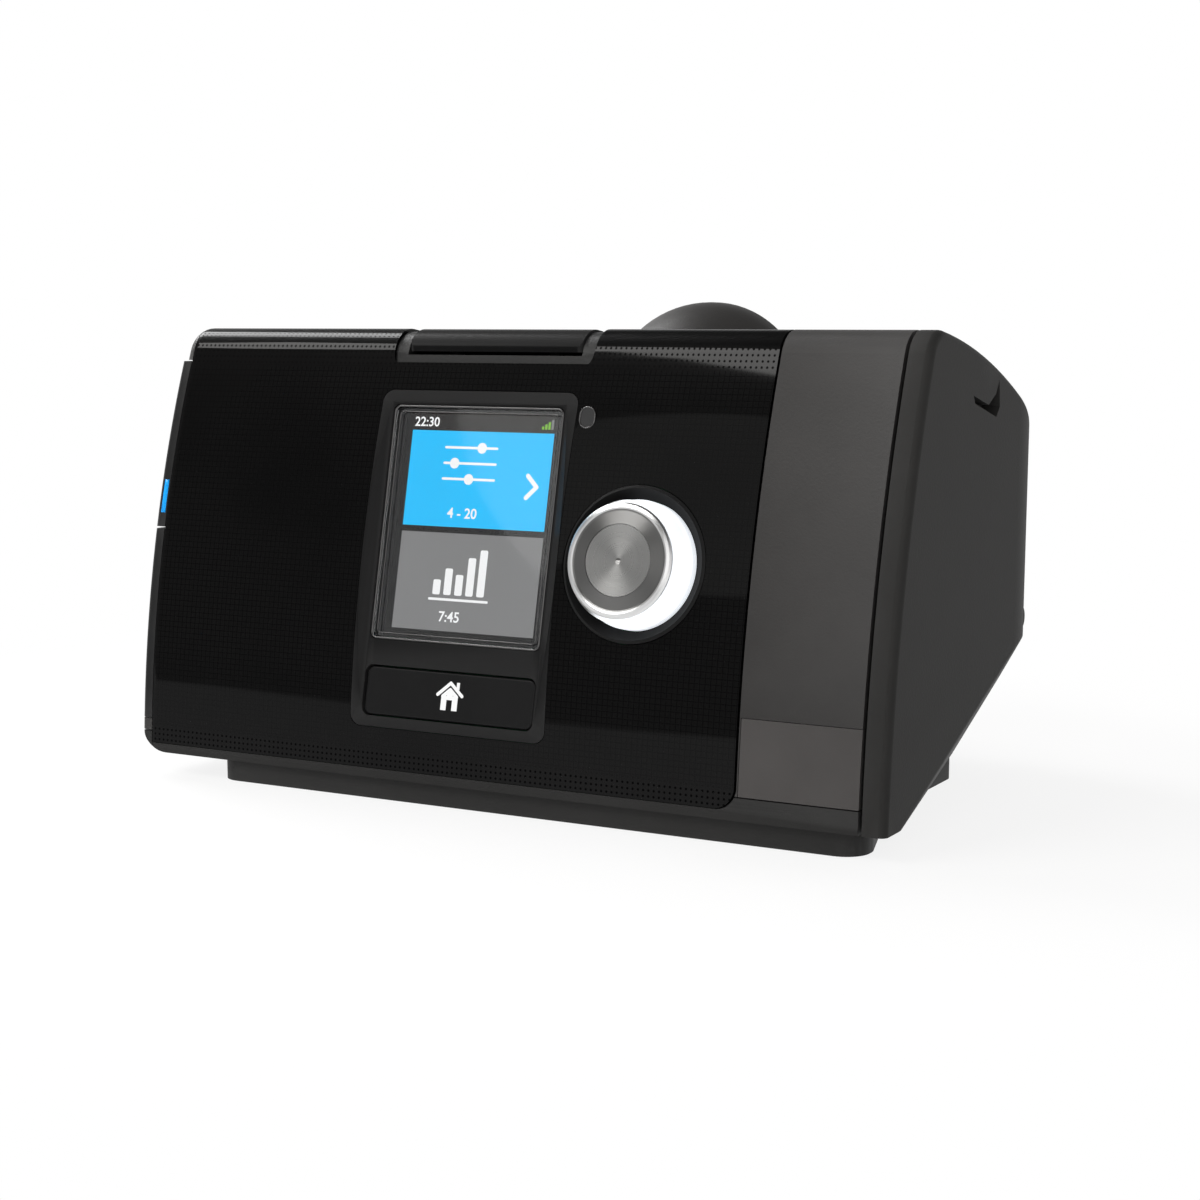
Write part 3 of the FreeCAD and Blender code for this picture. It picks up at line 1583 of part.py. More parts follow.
def clip_pins():
    pins = []
    for side in (-1, 1):
        x0 = inlet_x + side * (clip_half + 0.1)
        x1 = inlet_x + side * (clip_half + clip_arm_width + moving_gap + 2)
        pins.append(rod(clip_pin_radius, V(min(x0, x1), clip_axis_y, clip_pivot_level), X_AXIS,
                        abs(x1 - x0)))
    return Part.makeCompound(pins)


def adapter_cover_strip():
    """Narrow coloured strip let into the front lip of the adapter cover."""
    lip = box(-half_width + 1.2, panel_left - panel_gap - 0.6, front - 10, back(30),
              strip_low, strip_high)
    return skin(0, strip_thickness).common(lip)


# ---------------------------------------------------------------- write the pieces
strip = adapter_cover_strip()
save("main_housing", main_housing())
save("base_tray", base_tray())
save("tub_bay", tub_bay())
save("front_panel", front_panel())
save("label_panel", label_panel())
save("rubber_feet", rubber_feet())
save("casing_screws", casing_screws())
save("display_bezel", display_bezel())
save("display_lens", display_lens())
save("lcd_module", lcd_module())
save("home_button", home_button())
save("display_board", display_board())
save("light_sensor_lens", light_sensor_lens())
save("dial_dish", dial_dish())
save("light_ring", light_ring())
save("dial_knob", dial_knob())
save("dial_cap", dial_cap())
save("dial_shaft", dial_shaft())
save("dial_encoder", Part.makeCompound([encoder_bushing(), encoder_body()]))
save("encoder_plunger", encoder_plunger())
save("start_button", start_button())
save("start_switch_board", start_switch_board())
save("button_switches", Part.makeCompound([home_switch(), start_switches()]))
for cover_name, (cover_low, cover_high) in cover_spans.items():
    cover = side_cover(cover_low, cover_high)
    if cover_name == "adapter_cover":
        cover = cover.cut(strip)
    save(cover_name, cover)
save("adapter_cover_strip", strip)
save("hinge_pins", Part.makeCompound([side_cover_pins(), filter_hinge_pin(), clip_pins()]))
save("main_board", main_board())
save("adapter_port", adapter_port())
save("sd_card", sd_card())
save("sd_card_socket", sd_card_socket())
save("board_components", Part.makeCompound([modem_module(), power_block()]))
save("tub_base", tub_base())
save("tub_lid", tub_lid())
save("tub_seal", tub_seal())
save("tub_hinge_pin", tub_hinge_pin())
save("tub_contact_plate", tub_contact_plate())
save("tub_cover", tub_cover())
save("heater_plate", heater_plate())
save("heater_springs", heater_springs())
save("port_seals", port_seals())
save("blower_lower", blower_lower())
save("blower_upper", blower_upper())
save("impeller", impeller())
save("motor_can", motor_can())
save("motor_stator", motor_stator())
save("motor_rotor", motor_rotor())
save("motor_shaft", motor_shaft())
save("motor_bearings", motor_bearings())
save("blower_mounts", blower_mounts())
save("air_duct", air_duct())
save("outlet_plenum", outlet_plenum())
save("flow_sensor", flow_sensor())
save("muffler_foam", muffler_foam())
save("outlet_connector", outlet_connector())
save("outlet_seal", outlet_seal())
save("air_filter", air_filter())
save("filter_cover", filter_cover())
save("power_inlet", Part.makeCompound([power_inlet(), inlet_pin()]))
save("retention_clip", retention_clip())
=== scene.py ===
import bpy
import math
from mathutils import Matrix, Vector


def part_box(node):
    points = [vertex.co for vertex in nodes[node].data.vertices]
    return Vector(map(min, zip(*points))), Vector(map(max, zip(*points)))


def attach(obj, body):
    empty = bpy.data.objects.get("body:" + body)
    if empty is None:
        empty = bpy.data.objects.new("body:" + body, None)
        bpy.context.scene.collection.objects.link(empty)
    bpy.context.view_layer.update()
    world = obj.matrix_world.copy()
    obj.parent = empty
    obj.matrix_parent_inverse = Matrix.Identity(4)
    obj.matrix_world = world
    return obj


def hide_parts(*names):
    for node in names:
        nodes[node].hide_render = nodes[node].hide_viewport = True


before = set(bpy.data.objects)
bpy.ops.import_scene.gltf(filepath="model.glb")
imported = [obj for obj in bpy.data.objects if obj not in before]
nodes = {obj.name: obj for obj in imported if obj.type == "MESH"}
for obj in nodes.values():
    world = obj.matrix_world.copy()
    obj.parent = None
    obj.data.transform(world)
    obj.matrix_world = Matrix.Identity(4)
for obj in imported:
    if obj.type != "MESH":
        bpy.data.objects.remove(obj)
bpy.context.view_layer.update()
bpy.ops.object.select_all(action="DESELECT")

# ---------------------------------------------------------------- table, room and light
# A plain pale table that keeps the machine's shadow, in a room that the camera and clear
# plastic see as white all round. Polished faces see that room darker in front and overhead.
# Four soft lamps light the machine.
scene = bpy.context.scene
scene.view_settings.view_transform = "Standard"
table_size = 12.0
table_drop = 0.0002
table_fade = (0.1, 0.3)        # metres from the middle where the table turns to white
table_white_near = 0.85


def new_material(name):
    """A material, its node tree and its main shader."""
    material = bpy.data.materials.new(name)
    material.use_nodes = True
    tree = material.node_tree
    return material, tree, tree.nodes["Principled BSDF"]


def put(tree, socket, value):
    """Link a socket to another node's socket, or set it to a plain value."""
    if isinstance(value, bpy.types.NodeSocket):
        tree.links.new(value, socket)
    else:
        socket.default_value = value


def fill(tree, node, values):
    """Put values or other nodes' sockets on the named sockets of a node."""
    for socket_name, value in values.items():
        put(tree, node.inputs[socket_name], value)


def calculated(tree, operation, *values):
    """One Math node on values or sockets; gives its result."""
    step = tree.nodes.new("ShaderNodeMath")
    step.operation = operation
    for place, value in enumerate(values):
        put(tree, step.inputs[place], value)
    return step.outputs[0]


def graded(tree, value, low, high, given_low=0.0, given_high=1.0, soft=False):
    """Carry a value from the range low to high over to the given range."""
    grade = tree.nodes.new("ShaderNodeMapRange")
    if soft:
        grade.interpolation_type = "SMOOTHSTEP"
    fill(tree, grade, {"Value": value, "From Min": low, "From Max": high,
                       "To Min": given_low, "To Max": given_high})
    return grade.outputs["Result"]


def soft_step(tree, value, low, high, given_low=0.0, given_high=1.0):
    """The first given value below the low end, the second above the high end."""
    return graded(tree, value, low, high, given_low, given_high, soft=True)


def object_place(tree):
    return tree.nodes.new("ShaderNodeTexCoord").outputs["Object"]


def parts_of(tree, place):
    """The X, Y and Z of a place."""
    apart = tree.nodes.new("ShaderNodeSeparateXYZ")
    tree.links.new(place, apart.inputs["Vector"])
    return apart.outputs["X"], apart.outputs["Y"], apart.outputs["Z"]


def light_of(tree, kind, colour, strength):
    """The light of an Emission or Background node."""
    source = tree.nodes.new("ShaderNode" + kind)
    fill(tree, source, {"Color": (*colour, 1), "Strength": strength})
    return source.outputs[0]


def mixed_shader(tree, share, first, second):
    mix = tree.nodes.new("ShaderNodeMixShader")
    tree.links.new(share, mix.inputs["Fac"])
    tree.links.new(first, mix.inputs[1])
    tree.links.new(second, mix.inputs[2])
    return mix.outputs["Shader"]


def background_rays(tree):
    """1 for camera and transmission rays, and 1 for those and glossy rays."""
    rays = tree.nodes.new("ShaderNodeLightPath").outputs
    straight = calculated(tree, "MAXIMUM", rays["Is Camera Ray"], rays["Is Transmission Ray"])
    return straight, calculated(tree, "MAXIMUM", straight, rays["Is Glossy Ray"])


bpy.ops.mesh.primitive_plane_add(size=table_size, location=(0, 0, -table_drop))
table = bpy.context.object
table.name = "table_top"
table_paint, paint_tree, paint_shader = new_material("table_paint")
fill(paint_tree, paint_shader, {"Base Color": (0.9, 0.9, 0.9, 1), "Roughness": 0.9,
                                "Specular IOR Level": 0.1})
paint_reach = paint_tree.nodes.new("ShaderNodeVectorMath")
paint_reach.operation = "LENGTH"
paint_tree.links.new(object_place(paint_tree), paint_reach.inputs[0])
paint_fade = soft_step(paint_tree, paint_reach.outputs["Value"], *table_fade, table_white_near)
paint_share = calculated(paint_tree, "MULTIPLY", paint_fade, background_rays(paint_tree)[1])
paint_mix = mixed_shader(paint_tree, paint_share, paint_shader.outputs["BSDF"],
                         light_of(paint_tree, "Emission", (1, 1, 1), 1.0))
paint_tree.links.new(paint_mix, paint_tree.nodes["Material Output"].inputs["Surface"])
table.data.materials.append(table_paint)

front_to_back = (-0.55, 0.5)       # where the room's light grows, as directions in Y
room_strength = (0.16, 0.6)
level_to_overhead = (0.22, 0.6)    # where the mirrored room darkens, as directions in Z
mirrored_overhead = 0.06
front_to_side = (-0.75, -0.1)      # and in Y
mirrored_front = 0.25
room = bpy.data.worlds.new("room")
scene.world = room
room.use_nodes = True
room_tree = room.node_tree
room_tree.nodes.clear()
room_place = room_tree.nodes.new("ShaderNodeTexCoord").outputs["Generated"]
room_y, room_z = parts_of(room_tree, room_place)[1:]
room_light = light_of(room_tree, "Background", (1.0, 0.99, 0.98), soft_step(
    room_tree, room_y, *front_to_back, *room_strength))
room_mirrored = calculated(
    room_tree, "MULTIPLY",
    soft_step(room_tree, room_z, *level_to_overhead, 1.0, mirrored_overhead),
    soft_step(room_tree, room_y, *front_to_side, mirrored_front))
room_straight, room_seen = background_rays(room_tree)
room_white = light_of(room_tree, "Background", (1, 1, 1),
                      calculated(room_tree, "MAXIMUM", room_mirrored, room_straight))
room_out = room_tree.nodes.new("ShaderNodeOutputWorld")
room_tree.links.new(mixed_shader(room_tree, room_seen, room_light, room_white),
                    room_out.inputs["Surface"])


def add_lamp(name, place, aim, size, power, colour, shape="RECTANGLE"):
    bpy.ops.object.light_add(type="AREA", location=place)
    lamp = bpy.context.object
    lamp.name = name
    lamp.data.shape = shape
    lamp.data.size, lamp.data.size_y = size
    lamp.data.energy = power
    lamp.data.color = colour
    lamp.rotation_euler = (Vector(aim) - Vector(place)).to_track_quat("-Z", "Y").to_euler()


add_lamp("key_lamp", place=(-0.62, -0.84, 1.05), aim=(0, -0.05, 0.1), size=(0.95, 0.34),
         power=10.0, colour=(1, 0.99, 0.97))
add_lamp("rim_lamp", place=(-0.95, 0.3, 0.9), aim=(-0.05, -0.03, 0.1), size=(0.4, 0.8),
         power=14.0, colour=(1, 1, 1))
add_lamp("front_lamp", place=(0.55, -1.1, 0.45), aim=(0.05, -0.05, 0.06), size=(0.95, 0.95),
         power=5.5, colour=(1, 0.99, 0.98))
add_lamp("panel_glow_lamp", place=(-0.46, -1.04, 0.53), aim=(0.04, -0.06, 0.09),
         size=(0.42, 0.42), power=0.28, colour=(1, 1, 0.98), shape="DISK")

# The camera stands to the right of the machine's middle, a little above its top edge.
camera_place = (0.2684, -0.4997, 0.1151)
camera_turn = math.radians(28.87)
camera_dip = math.radians(9.17)
focal_length_px = 2180
frame_width_px = 1200
frame_shift = 0.06
sensor_width = 36.0
bpy.ops.object.camera_add(location=camera_place)
camera = bpy.context.object
camera.name = "front_right_camera"
camera.rotation_euler = (math.pi / 2 - camera_dip, 0, camera_turn)
camera.data.sensor_width = sensor_width
camera.data.lens = sensor_width * focal_length_px / frame_width_px
camera.data.shift_y = frame_shift
camera.data.clip_start = 0.01
camera.data.clip_end = 50.0
scene.camera = camera

# ---------------------------------------------------------------- main housing
# The dark moulded upper shell with its rounded hump over the air outlet, and the bay that
# the water tub slides into. Both are injection moulded in a satin charcoal, a little shinier
# where hands have rubbed the edges. The surround of the start bar is black.
housing_charcoal = (0.0315, 0.03, 0.0292)
surround_black = (0.006, 0.006, 0.006)
surround_beside = 0.0042       # how far the black reaches past the bar's ends
surround_behind = 0.0019       # and past its back
grain_height = 0.0001
cloud_scale = 35.0             # slow clouds that vary shade and shine
cloud_spread = (0.3, 0.7)
cloud_shade = (0.86, 1.14)
cloud_roughness = 0.08
edge_rubbing = (0.52, 0.62)    # how sharp an edge is where rubbing sets in and is full
rubbed_grey = (0.05, 0.05, 0.05)
rubbed_roughness = -0.18


def noise(tree, place, scale, detail=2.0, roughness=0.5):
    """The value of a cloudy pattern, or of a fine grain where the scale is high."""
    pattern = tree.nodes.new("ShaderNodeTexNoise")
    fill(tree, pattern, {"Vector": place, "Scale": scale, "Detail": detail,
                         "Roughness": roughness})
    return pattern.outputs["Fac"]


def relief(tree, height, strength, distance=grain_height):
    """The normal of a face with a pattern raised on it."""
    bump = tree.nodes.new("ShaderNodeBump")
    fill(tree, bump, {"Height": height, "Strength": strength, "Distance": distance})
    return bump.outputs["Normal"]


def blended(tree, share, first, second, blend_type="MIX"):
    """One colour laid over another by a share."""
    mix = tree.nodes.new("ShaderNodeMix")
    mix.data_type = "RGBA"
    mix.blend_type = blend_type
    fill(tree, mix, {"Factor": share, "A": first, "B": second})
    return mix.outputs["Result"]


def scaled(tree, colour, factor):
    """A colour times a number."""
    scale = tree.nodes.new("ShaderNodeVectorMath")
    scale.operation = "SCALE"
    put(tree, scale.inputs[0], colour)
    put(tree, scale.inputs["Scale"], factor)
    return scale.outputs["Vector"]


skin = bpy.data.node_groups.new("moulded_skin", "ShaderNodeTree")
for socket_name, direction, kind in (
        ("Colour", "INPUT", "Color"), ("Roughness", "INPUT", "Float"),
        ("Grain", "INPUT", "Float"), ("Depth", "INPUT", "Float"), ("Wear", "INPUT", "Float"),
        ("Colour", "OUTPUT", "Color"), ("Roughness", "OUTPUT", "Float"),
        ("Normal", "OUTPUT", "Vector")):
    skin.interface.new_socket(socket_name, in_out=direction, socket_type="NodeSocket" + kind)
skin_in = skin.nodes.new("NodeGroupInput").outputs
skin_place = object_place(skin)
skin_grain = noise(skin, skin_place, skin_in["Grain"], roughness=0.6)
skin_cloud = noise(skin, skin_place, cloud_scale, detail=4.0)
skin_edge = skin.nodes.new("ShaderNodeNewGeometry").outputs["Pointiness"]
skin_rubbed = calculated(skin, "MULTIPLY", graded(skin, skin_edge, *edge_rubbing),
                         skin_in["Wear"])
skin_shade = scaled(skin, skin_in["Colour"],
                    graded(skin, skin_cloud, *cloud_spread, *cloud_shade))
skin_uneven = calculated(skin, "MULTIPLY_ADD", skin_cloud, cloud_roughness,
                         skin_in["Roughness"])
fill(skin, skin.nodes.new("NodeGroupOutput"), {
    "Colour": blended(skin, skin_rubbed, skin_shade, (*rubbed_grey, 1), "SCREEN"),
    "Roughness": calculated(skin, "MULTIPLY_ADD", skin_rubbed, rubbed_roughness, skin_uneven),
    "Normal": relief(skin, skin_grain, skin_in["Depth"])})


def moulded_plastic(name, colour, roughness, grain, depth, wear, shine=0.22):
    """Moulded plastic or rubber with a grain, in one colour right through."""
    plastic, tree, shader = new_material(name)
    surface = tree.nodes.new("ShaderNodeGroup")
    surface.node_tree = skin
    fill(tree, surface, {"Colour": (*colour, 1), "Roughness": roughness, "Grain": grain,
                         "Depth": depth, "Wear": wear})
    fill(tree, shader, {"Specular IOR Level": shine, "Base Color": surface.outputs["Colour"],
                        "Roughness": surface.outputs["Roughness"],
                        "Normal": surface.outputs["Normal"]})
    plastic.diffuse_color = (*colour, 1)
    return plastic


def cover_with(material, piece):
    piece.data.materials.clear()
    piece.data.materials.append(material)


def dress(material, *node_names):
    for node_name in node_names:
        cover_with(material, nodes[node_name])


housing_plastic = moulded_plastic("charcoal_housing", housing_charcoal, roughness=0.48,
                                  grain=1500.0, depth=0.55, wear=0.3)
shell_plastic = housing_plastic.copy()
shell_plastic.name = "charcoal_housing_with_black_surround"
shell_tree = shell_plastic.node_tree
bar_lo, bar_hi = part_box("start_button")
bar_middle = (bar_lo[0] + bar_hi[0]) / 2
bar_half = (bar_hi[0] - bar_lo[0]) / 2
shell_x, shell_y = parts_of(shell_tree, object_place(shell_tree))[:2]
beside_bar = calculated(shell_tree, "ABSOLUTE",
                        calculated(shell_tree, "SUBTRACT", shell_x, bar_middle))
in_surround = calculated(
    shell_tree, "MULTIPLY",
    calculated(shell_tree, "LESS_THAN", beside_bar, bar_half + surround_beside),
    calculated(shell_tree, "LESS_THAN", shell_y, bar_hi[1] + surround_behind))
shell_colour = blended(shell_tree, in_surround, (*housing_charcoal, 1), (*surround_black, 1))
for part in shell_tree.nodes:
    if part.type == "GROUP":
        shell_tree.links.new(shell_colour, part.inputs["Colour"])
dress(shell_plastic, "main_housing")
dress(housing_plastic, "tub_bay")

# ---------------------------------------------------------------- base tray
# The lower shell and the plinth it stands on, moulded in the same plastic a shade darker,
# screwed up into the housing from below, with a rubber foot let in at each corner.
tray_plastic = moulded_plastic("charcoal_tray", (0.0175, 0.0172, 0.0168), roughness=0.55,
                               grain=1700.0, depth=0.45, wear=0.25)
dress(tray_plastic, "base_tray")
foot_rubber = moulded_plastic("foot_rubber", (0.018, 0.018, 0.018), roughness=0.8, grain=900.0,
                              depth=0.5, wear=0.0)
dress(foot_rubber, "rubber_feet")


mark_shade = 0.8
mark_roughness = (-0.06, 0.08)


def turned_metal(name, colour, roughness, mark_scale):
    """Metal with fine tool marks, uneven in shade and shine."""
    metal, tree, shader = new_material(name)
    marks = noise(tree, object_place(tree), mark_scale, detail=3.0)
    darker = (*[mark_shade * channel for channel in colour], 1)
    fill(tree, shader, {
        "Metallic": 1.0, "Base Color": blended(tree, marks, darker, (*colour, 1)),
        "Roughness": graded(tree, marks, 0.0, 1.0, *[roughness + more for more in mark_roughness]),
        "Normal": relief(tree, marks, 0.08)})
    metal.diffuse_color = (*colour, 1)
    return metal


screw_steel = turned_metal("screw_steel", (0.55, 0.55, 0.57), 0.35, 1500.0)
dress(screw_steel, "casing_screws")

# ---------------------------------------------------------------- gloss front panel
# The black control panel: gloss plastic over a printed grid of small squares, with rows of
# fine round dimples over its rounded top edge and along its foot.
square_pitch = 0.00135
line_edge = (0.04, 0.13)           # from a line's middle, in pitches
dimple_edge = (0.16, 0.26)         # from a dimple's middle, in pitches
top_rounding_y = -0.050            # where the front turns over into the top
top_dimples = (0.1035, 0.1044)     # heights where the dimples set in, measured over the top
foot_dimples = (0.0118, 0.0132)
coat_share = 0.22
drift_scale = 18.0                 # slow drift in how clearly the print is seen
drift_edge = (0.3, 0.62)
print_seen_least = 0.25
print_roughness = (0.45, 0.35)     # of lines and of squares
line_black = (0.0008, 0.0008, 0.0009)
square_black = (0.0031, 0.003, 0.003)


def reach_of(tree, across, up):
    """How far a point lies from the middle."""
    return calculated(tree, "SQRT", calculated(
        tree, "ADD", calculated(tree, "POWER", across, 2.0), calculated(tree, "POWER", up, 2.0)))


def panel_pattern(tree, place):
    """The print, 0 on its lines and in dimples, and the clear gloss, 0 in dimples alone."""
    x, y, z = parts_of(tree, place)
    over = calculated(tree, "MAXIMUM", calculated(tree, "SUBTRACT", y, top_rounding_y), 0.0)
    up = calculated(tree, "ADD", z, over)
    to_line_x = calculated(tree, "PINGPONG", calculated(tree, "DIVIDE", x, square_pitch), 0.5)
    to_line_z = calculated(tree, "PINGPONG", calculated(tree, "DIVIDE", up, square_pitch), 0.5)
    squares = calculated(tree, "MULTIPLY", soft_step(tree, to_line_x, *line_edge),
                         soft_step(tree, to_line_z, *line_edge))
    from_dimple = reach_of(tree, calculated(tree, "SUBTRACT", 0.5, to_line_x),
                           calculated(tree, "SUBTRACT", 0.5, to_line_z))
    between = soft_step(tree, from_dimple, *dimple_edge)
    above_foot = soft_step(tree, up, *foot_dimples)
    dimpled = calculated(tree, "ADD", soft_step(tree, up, *top_dimples),
                         calculated(tree, "SUBTRACT", 1.0, above_foot))
    printed = tree.nodes.new("ShaderNodeMix")
    fill(tree, printed, {"Factor": dimpled, "A": squares, "B": between})
    in_dimple = calculated(tree, "MULTIPLY", dimpled, calculated(tree, "SUBTRACT", 1.0, between))
    return printed.outputs["Result"], calculated(tree, "SUBTRACT", 1.0, in_dimple)


panel_gloss, panel_tree, panel_shader = new_material("gloss_front_panel")
panel_place = object_place(panel_tree)
panel_print, panel_clear = panel_pattern(panel_tree, panel_place)
panel_drift = soft_step(panel_tree, noise(panel_tree, panel_place, drift_scale), *drift_edge,
                        print_seen_least)
panel_seen = calculated(panel_tree, "MULTIPLY", panel_drift, panel_print)
fill(panel_tree, panel_shader, {
    "Base Color": blended(panel_tree, panel_seen, (*line_black, 1), (*square_black, 1)),
    "Roughness": graded(panel_tree, panel_print, 0.0, 1.0, *print_roughness),
    "Normal": relief(panel_tree, panel_print, 0.05),
    "Coat Weight": calculated(panel_tree, "MULTIPLY", panel_clear, coat_share),
    "Coat Roughness": 0.04, "Coat IOR": 1.5, "Specular IOR Level": 0.02})
dress(panel_gloss, "front_panel")

# ---------------------------------------------------------------- start bar
# The long start and stop bar let into the top front edge: satin black plastic on two
# sprung stems over its own small switch board.
bar_plastic = moulded_plastic("satin_black_bar", (0.0075, 0.0075, 0.0077), roughness=0.3,
                              grain=3000.0, depth=0.05, wear=0.35, shine=0.012)
dress(bar_plastic, "start_button")
board_mask = moulded_plastic("green_board", (0.01, 0.09, 0.035), roughness=0.35, grain=700.0,
                             depth=0.1, wear=0.1)
dress(board_mask, "start_switch_board")
switch_plastic = moulded_plastic("black_component", (0.022, 0.022, 0.024), roughness=0.45,
                                 grain=1500.0, depth=0.15, wear=0.1)
dress(switch_plastic, "button_switches")

# ---------------------------------------------------------------- display bezel and glass
# A satin black frame with a broad slanted edge carries the cover glass in its upper part and
# the home button below it. Glossy beads run round the glass and the light sensor.
front_lean = math.radians(12.5256)
front_middle = Vector((0, -0.065233, 0.0604))
millimetre = 0.001
bezel_plastic = moulded_plastic("satin_black_bezel", (0.0075, 0.0075, 0.0077), roughness=0.29,
                                grain=3000.0, depth=0.06, wear=0.3, shine=0.07)
dress(bezel_plastic, "display_bezel")
dress(board_mask, "display_board")


def clear_material(name, colour, ior, smear_scale, haze, shine=0.5):
    """Clear glass or plastic with a faint haze that varies over it."""
    clear, tree, shader = new_material(name)
    smear = noise(tree, object_place(tree), smear_scale)
    fill(tree, shader, {"Base Color": (*colour, 1), "Transmission Weight": 1.0, "IOR": ior,
                        "Specular IOR Level": shine,
                        "Roughness": graded(tree, smear, 0.0, 1.0, *haze)})
    return clear


window_glass = clear_material("cover_glass", (0.96, 0.97, 0.98), ior=1.45, smear_scale=60.0,
                              haze=(0.01, 0.05), shine=0.07)
dress(window_glass, "display_lens")
sensor_smoke = moulded_plastic("smoked_lens", (0.019, 0.019, 0.02), roughness=0.15,
                               grain=3000.0, depth=0.0, wear=0.0, shine=0.5)
dress(sensor_smoke, "light_sensor_lens")
screen_black = moulded_plastic("screen_black", (0.003, 0.0028, 0.0026), roughness=0.4,
                               grain=3000.0, depth=0.02, wear=0.0, shine=0.0)
dress(screen_black, "lcd_module")
button_plastic = moulded_plastic("satin_black_button", (0.0095, 0.0095, 0.0098), roughness=0.36,
                                 grain=3000.0, depth=0.1, wear=0.35, shine=0.1)
dress(button_plastic, "home_button")
rim_gloss = moulded_plastic("glossy_rim", (0.035, 0.034, 0.034), roughness=0.09, grain=3000.0,
                            depth=0.0, wear=0.0, shine=0.9)


def stand_up(piece, foot, lift=0.0):
    """Stand a piece, drawn in X and Y in millimetres, at a point of the leaning front."""
    piece.data.transform(Matrix.Translation(foot)
                         @ Matrix.Rotation(math.pi / 2 - front_lean, 4, "X")
                         @ Matrix.Translation((0, 0, lift)) @ Matrix.Scale(millimetre, 4))
    piece.data.update()


def rounded_outline(name, left, right, low, high, corner, segments):
    """A flat rounded rectangle in millimetres, left in edit mode."""
    bpy.ops.object.select_all(action="DESELECT")
    bpy.ops.mesh.primitive_plane_add(size=1, location=(0, 0, 0))
    outline = bpy.context.object
    outline.name = name
    bpy.ops.object.mode_set(mode="EDIT")
    bpy.ops.mesh.select_all(action="SELECT")
    bpy.ops.transform.resize(value=(right - left, high - low, 1))
    bpy.ops.transform.translate(value=((left + right) / 2, (low + high) / 2, 0))
    if corner > 0:
        bpy.ops.mesh.bevel(offset=corner, offset_type="OFFSET", segments=segments,
                           affect="VERTICES")
    return outline


def rounded_rim(name, left, right, low, high, corner, thickness, depth):
    """A round bead bent to a rounded rectangle, in millimetres on the leaning front."""
    rim = rounded_outline(name, left, right, low, high, corner, segments=8)
    bpy.ops.mesh.select_all(action="SELECT")
    bpy.ops.mesh.delete(type="ONLY_FACE")
    bpy.ops.object.mode_set(mode="OBJECT")
    bpy.ops.object.convert(target="CURVE")
    rim.data.bevel_depth = thickness / 2
    rim.data.bevel_resolution = 3
    bpy.ops.object.convert(target="MESH")
    bpy.ops.object.mode_set(mode="EDIT")
    bpy.ops.mesh.select_all(action="SELECT")
    bpy.ops.mesh.normals_make_consistent(inside=False)
    bpy.ops.mesh.faces_shade_smooth()
    bpy.ops.object.mode_set(mode="OBJECT")
    cover_with(rim_gloss, rim)
    stand_up(rim, front_middle, -depth * millimetre)
    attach(rim, "casing")


rounded_rim("glass_rim_outer", -33.3, 13.7, -21.2, 35.5, corner=1.5, thickness=0.55, depth=2.45)
rounded_rim("glass_rim_inner", -32.0, 12.4, -19.9, 34.2, corner=1.0, thickness=0.3, depth=2.75)
rounded_rim("sensor_rim", 18.65, 22.55, 31.15, 36.05, corner=1.94, thickness=0.4, depth=1.62)

# ---------------------------------------------------------------- lit screen picture
# The picture on the display behind its cover glass: a header with a clock and signal bars,
# a blue tile with sliders and a grey tile with a bar chart, each with a plain number.
# Everything is drawn in millimetres from the lower left corner of the display.
screen_height = 0.0549
tile_left = 2.2
tile_film = 0.03
mark_film = 0.02
tile_lift = 0.00004
mark_lift = 0.0001
row_scale = 40.0
row_shade = (0.94, 1.04)
unlit_share = 0.04
round_end_share = 0.45         # of a bar's width
round_disc_share = 0.95        # of a disc's radius
text_size_share = 1.4          # of a figure's height
stroke_swell_share = 0.02
screen_lo, screen_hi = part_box("lcd_module")
screen_foot = (screen_lo[0], screen_lo[1], screen_hi[2] - screen_height * math.cos(front_lean))


def on_screen(piece, lift=mark_lift):
    stand_up(piece, screen_foot, lift)
    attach(piece, "casing")


def lit_colour(name, colour):
    """A colour that glows evenly, as a lit display does, and hardly reflects."""
    glow, tree, shader = new_material(name)
    rows = noise(tree, object_place(tree), row_scale)
    shade = scaled(tree, colour, graded(tree, rows, 0.0, 1.0, *row_shade))
    fill(tree, shader, {"Emission Color": shade, "Emission Strength": 1.0,
                        "Base Color": scaled(tree, shade, unlit_share), "Roughness": 0.5,
                        "Specular IOR Level": 0.0})
    glow.diffuse_color = (*colour, 1)
    return glow


tile_blue = lit_colour("lit_blue", (0.0015, 0.53, 1.0))
tile_grey = lit_colour("lit_grey", (0.21, 0.21, 0.21))
lit_white = lit_colour("lit_white", (0.95, 0.95, 0.95))
lit_green = lit_colour("lit_green", (0.2, 0.5, 0.03))
header_dark = lit_colour("lit_header", (0.012, 0.01, 0.009))


def flat_shape(name, left, right, low, high, corner=0, thickness=mark_film, material=lit_white):
    """A thin rounded slab, drawn in millimetres."""
    shape = rounded_outline(name, left, right, low, high, corner, segments=4)
    bpy.ops.mesh.extrude_region_move(TRANSFORM_OT_translate={"value": (0, 0, thickness)})
    bpy.ops.mesh.select_all(action="SELECT")
    bpy.ops.mesh.normals_make_consistent(inside=False)
    bpy.ops.object.mode_set(mode="OBJECT")
    cover_with(material, shape)
    return shape


def slanting_bar(name, start, end, width, thickness=mark_film):
    """A thin white bar with round ends from one point to another, drawn in millimetres."""
    run = Vector(end) - Vector(start)
    bar = flat_shape(name, -width / 2, run.length + width / 2, -width / 2, width / 2,
                     width * round_end_share, thickness)
    turn = Matrix.Rotation(math.atan2(run.y, run.x), 4, "Z")
    bar.data.transform(Matrix.Translation((start[0], start[1], 0)) @ turn)
    return bar


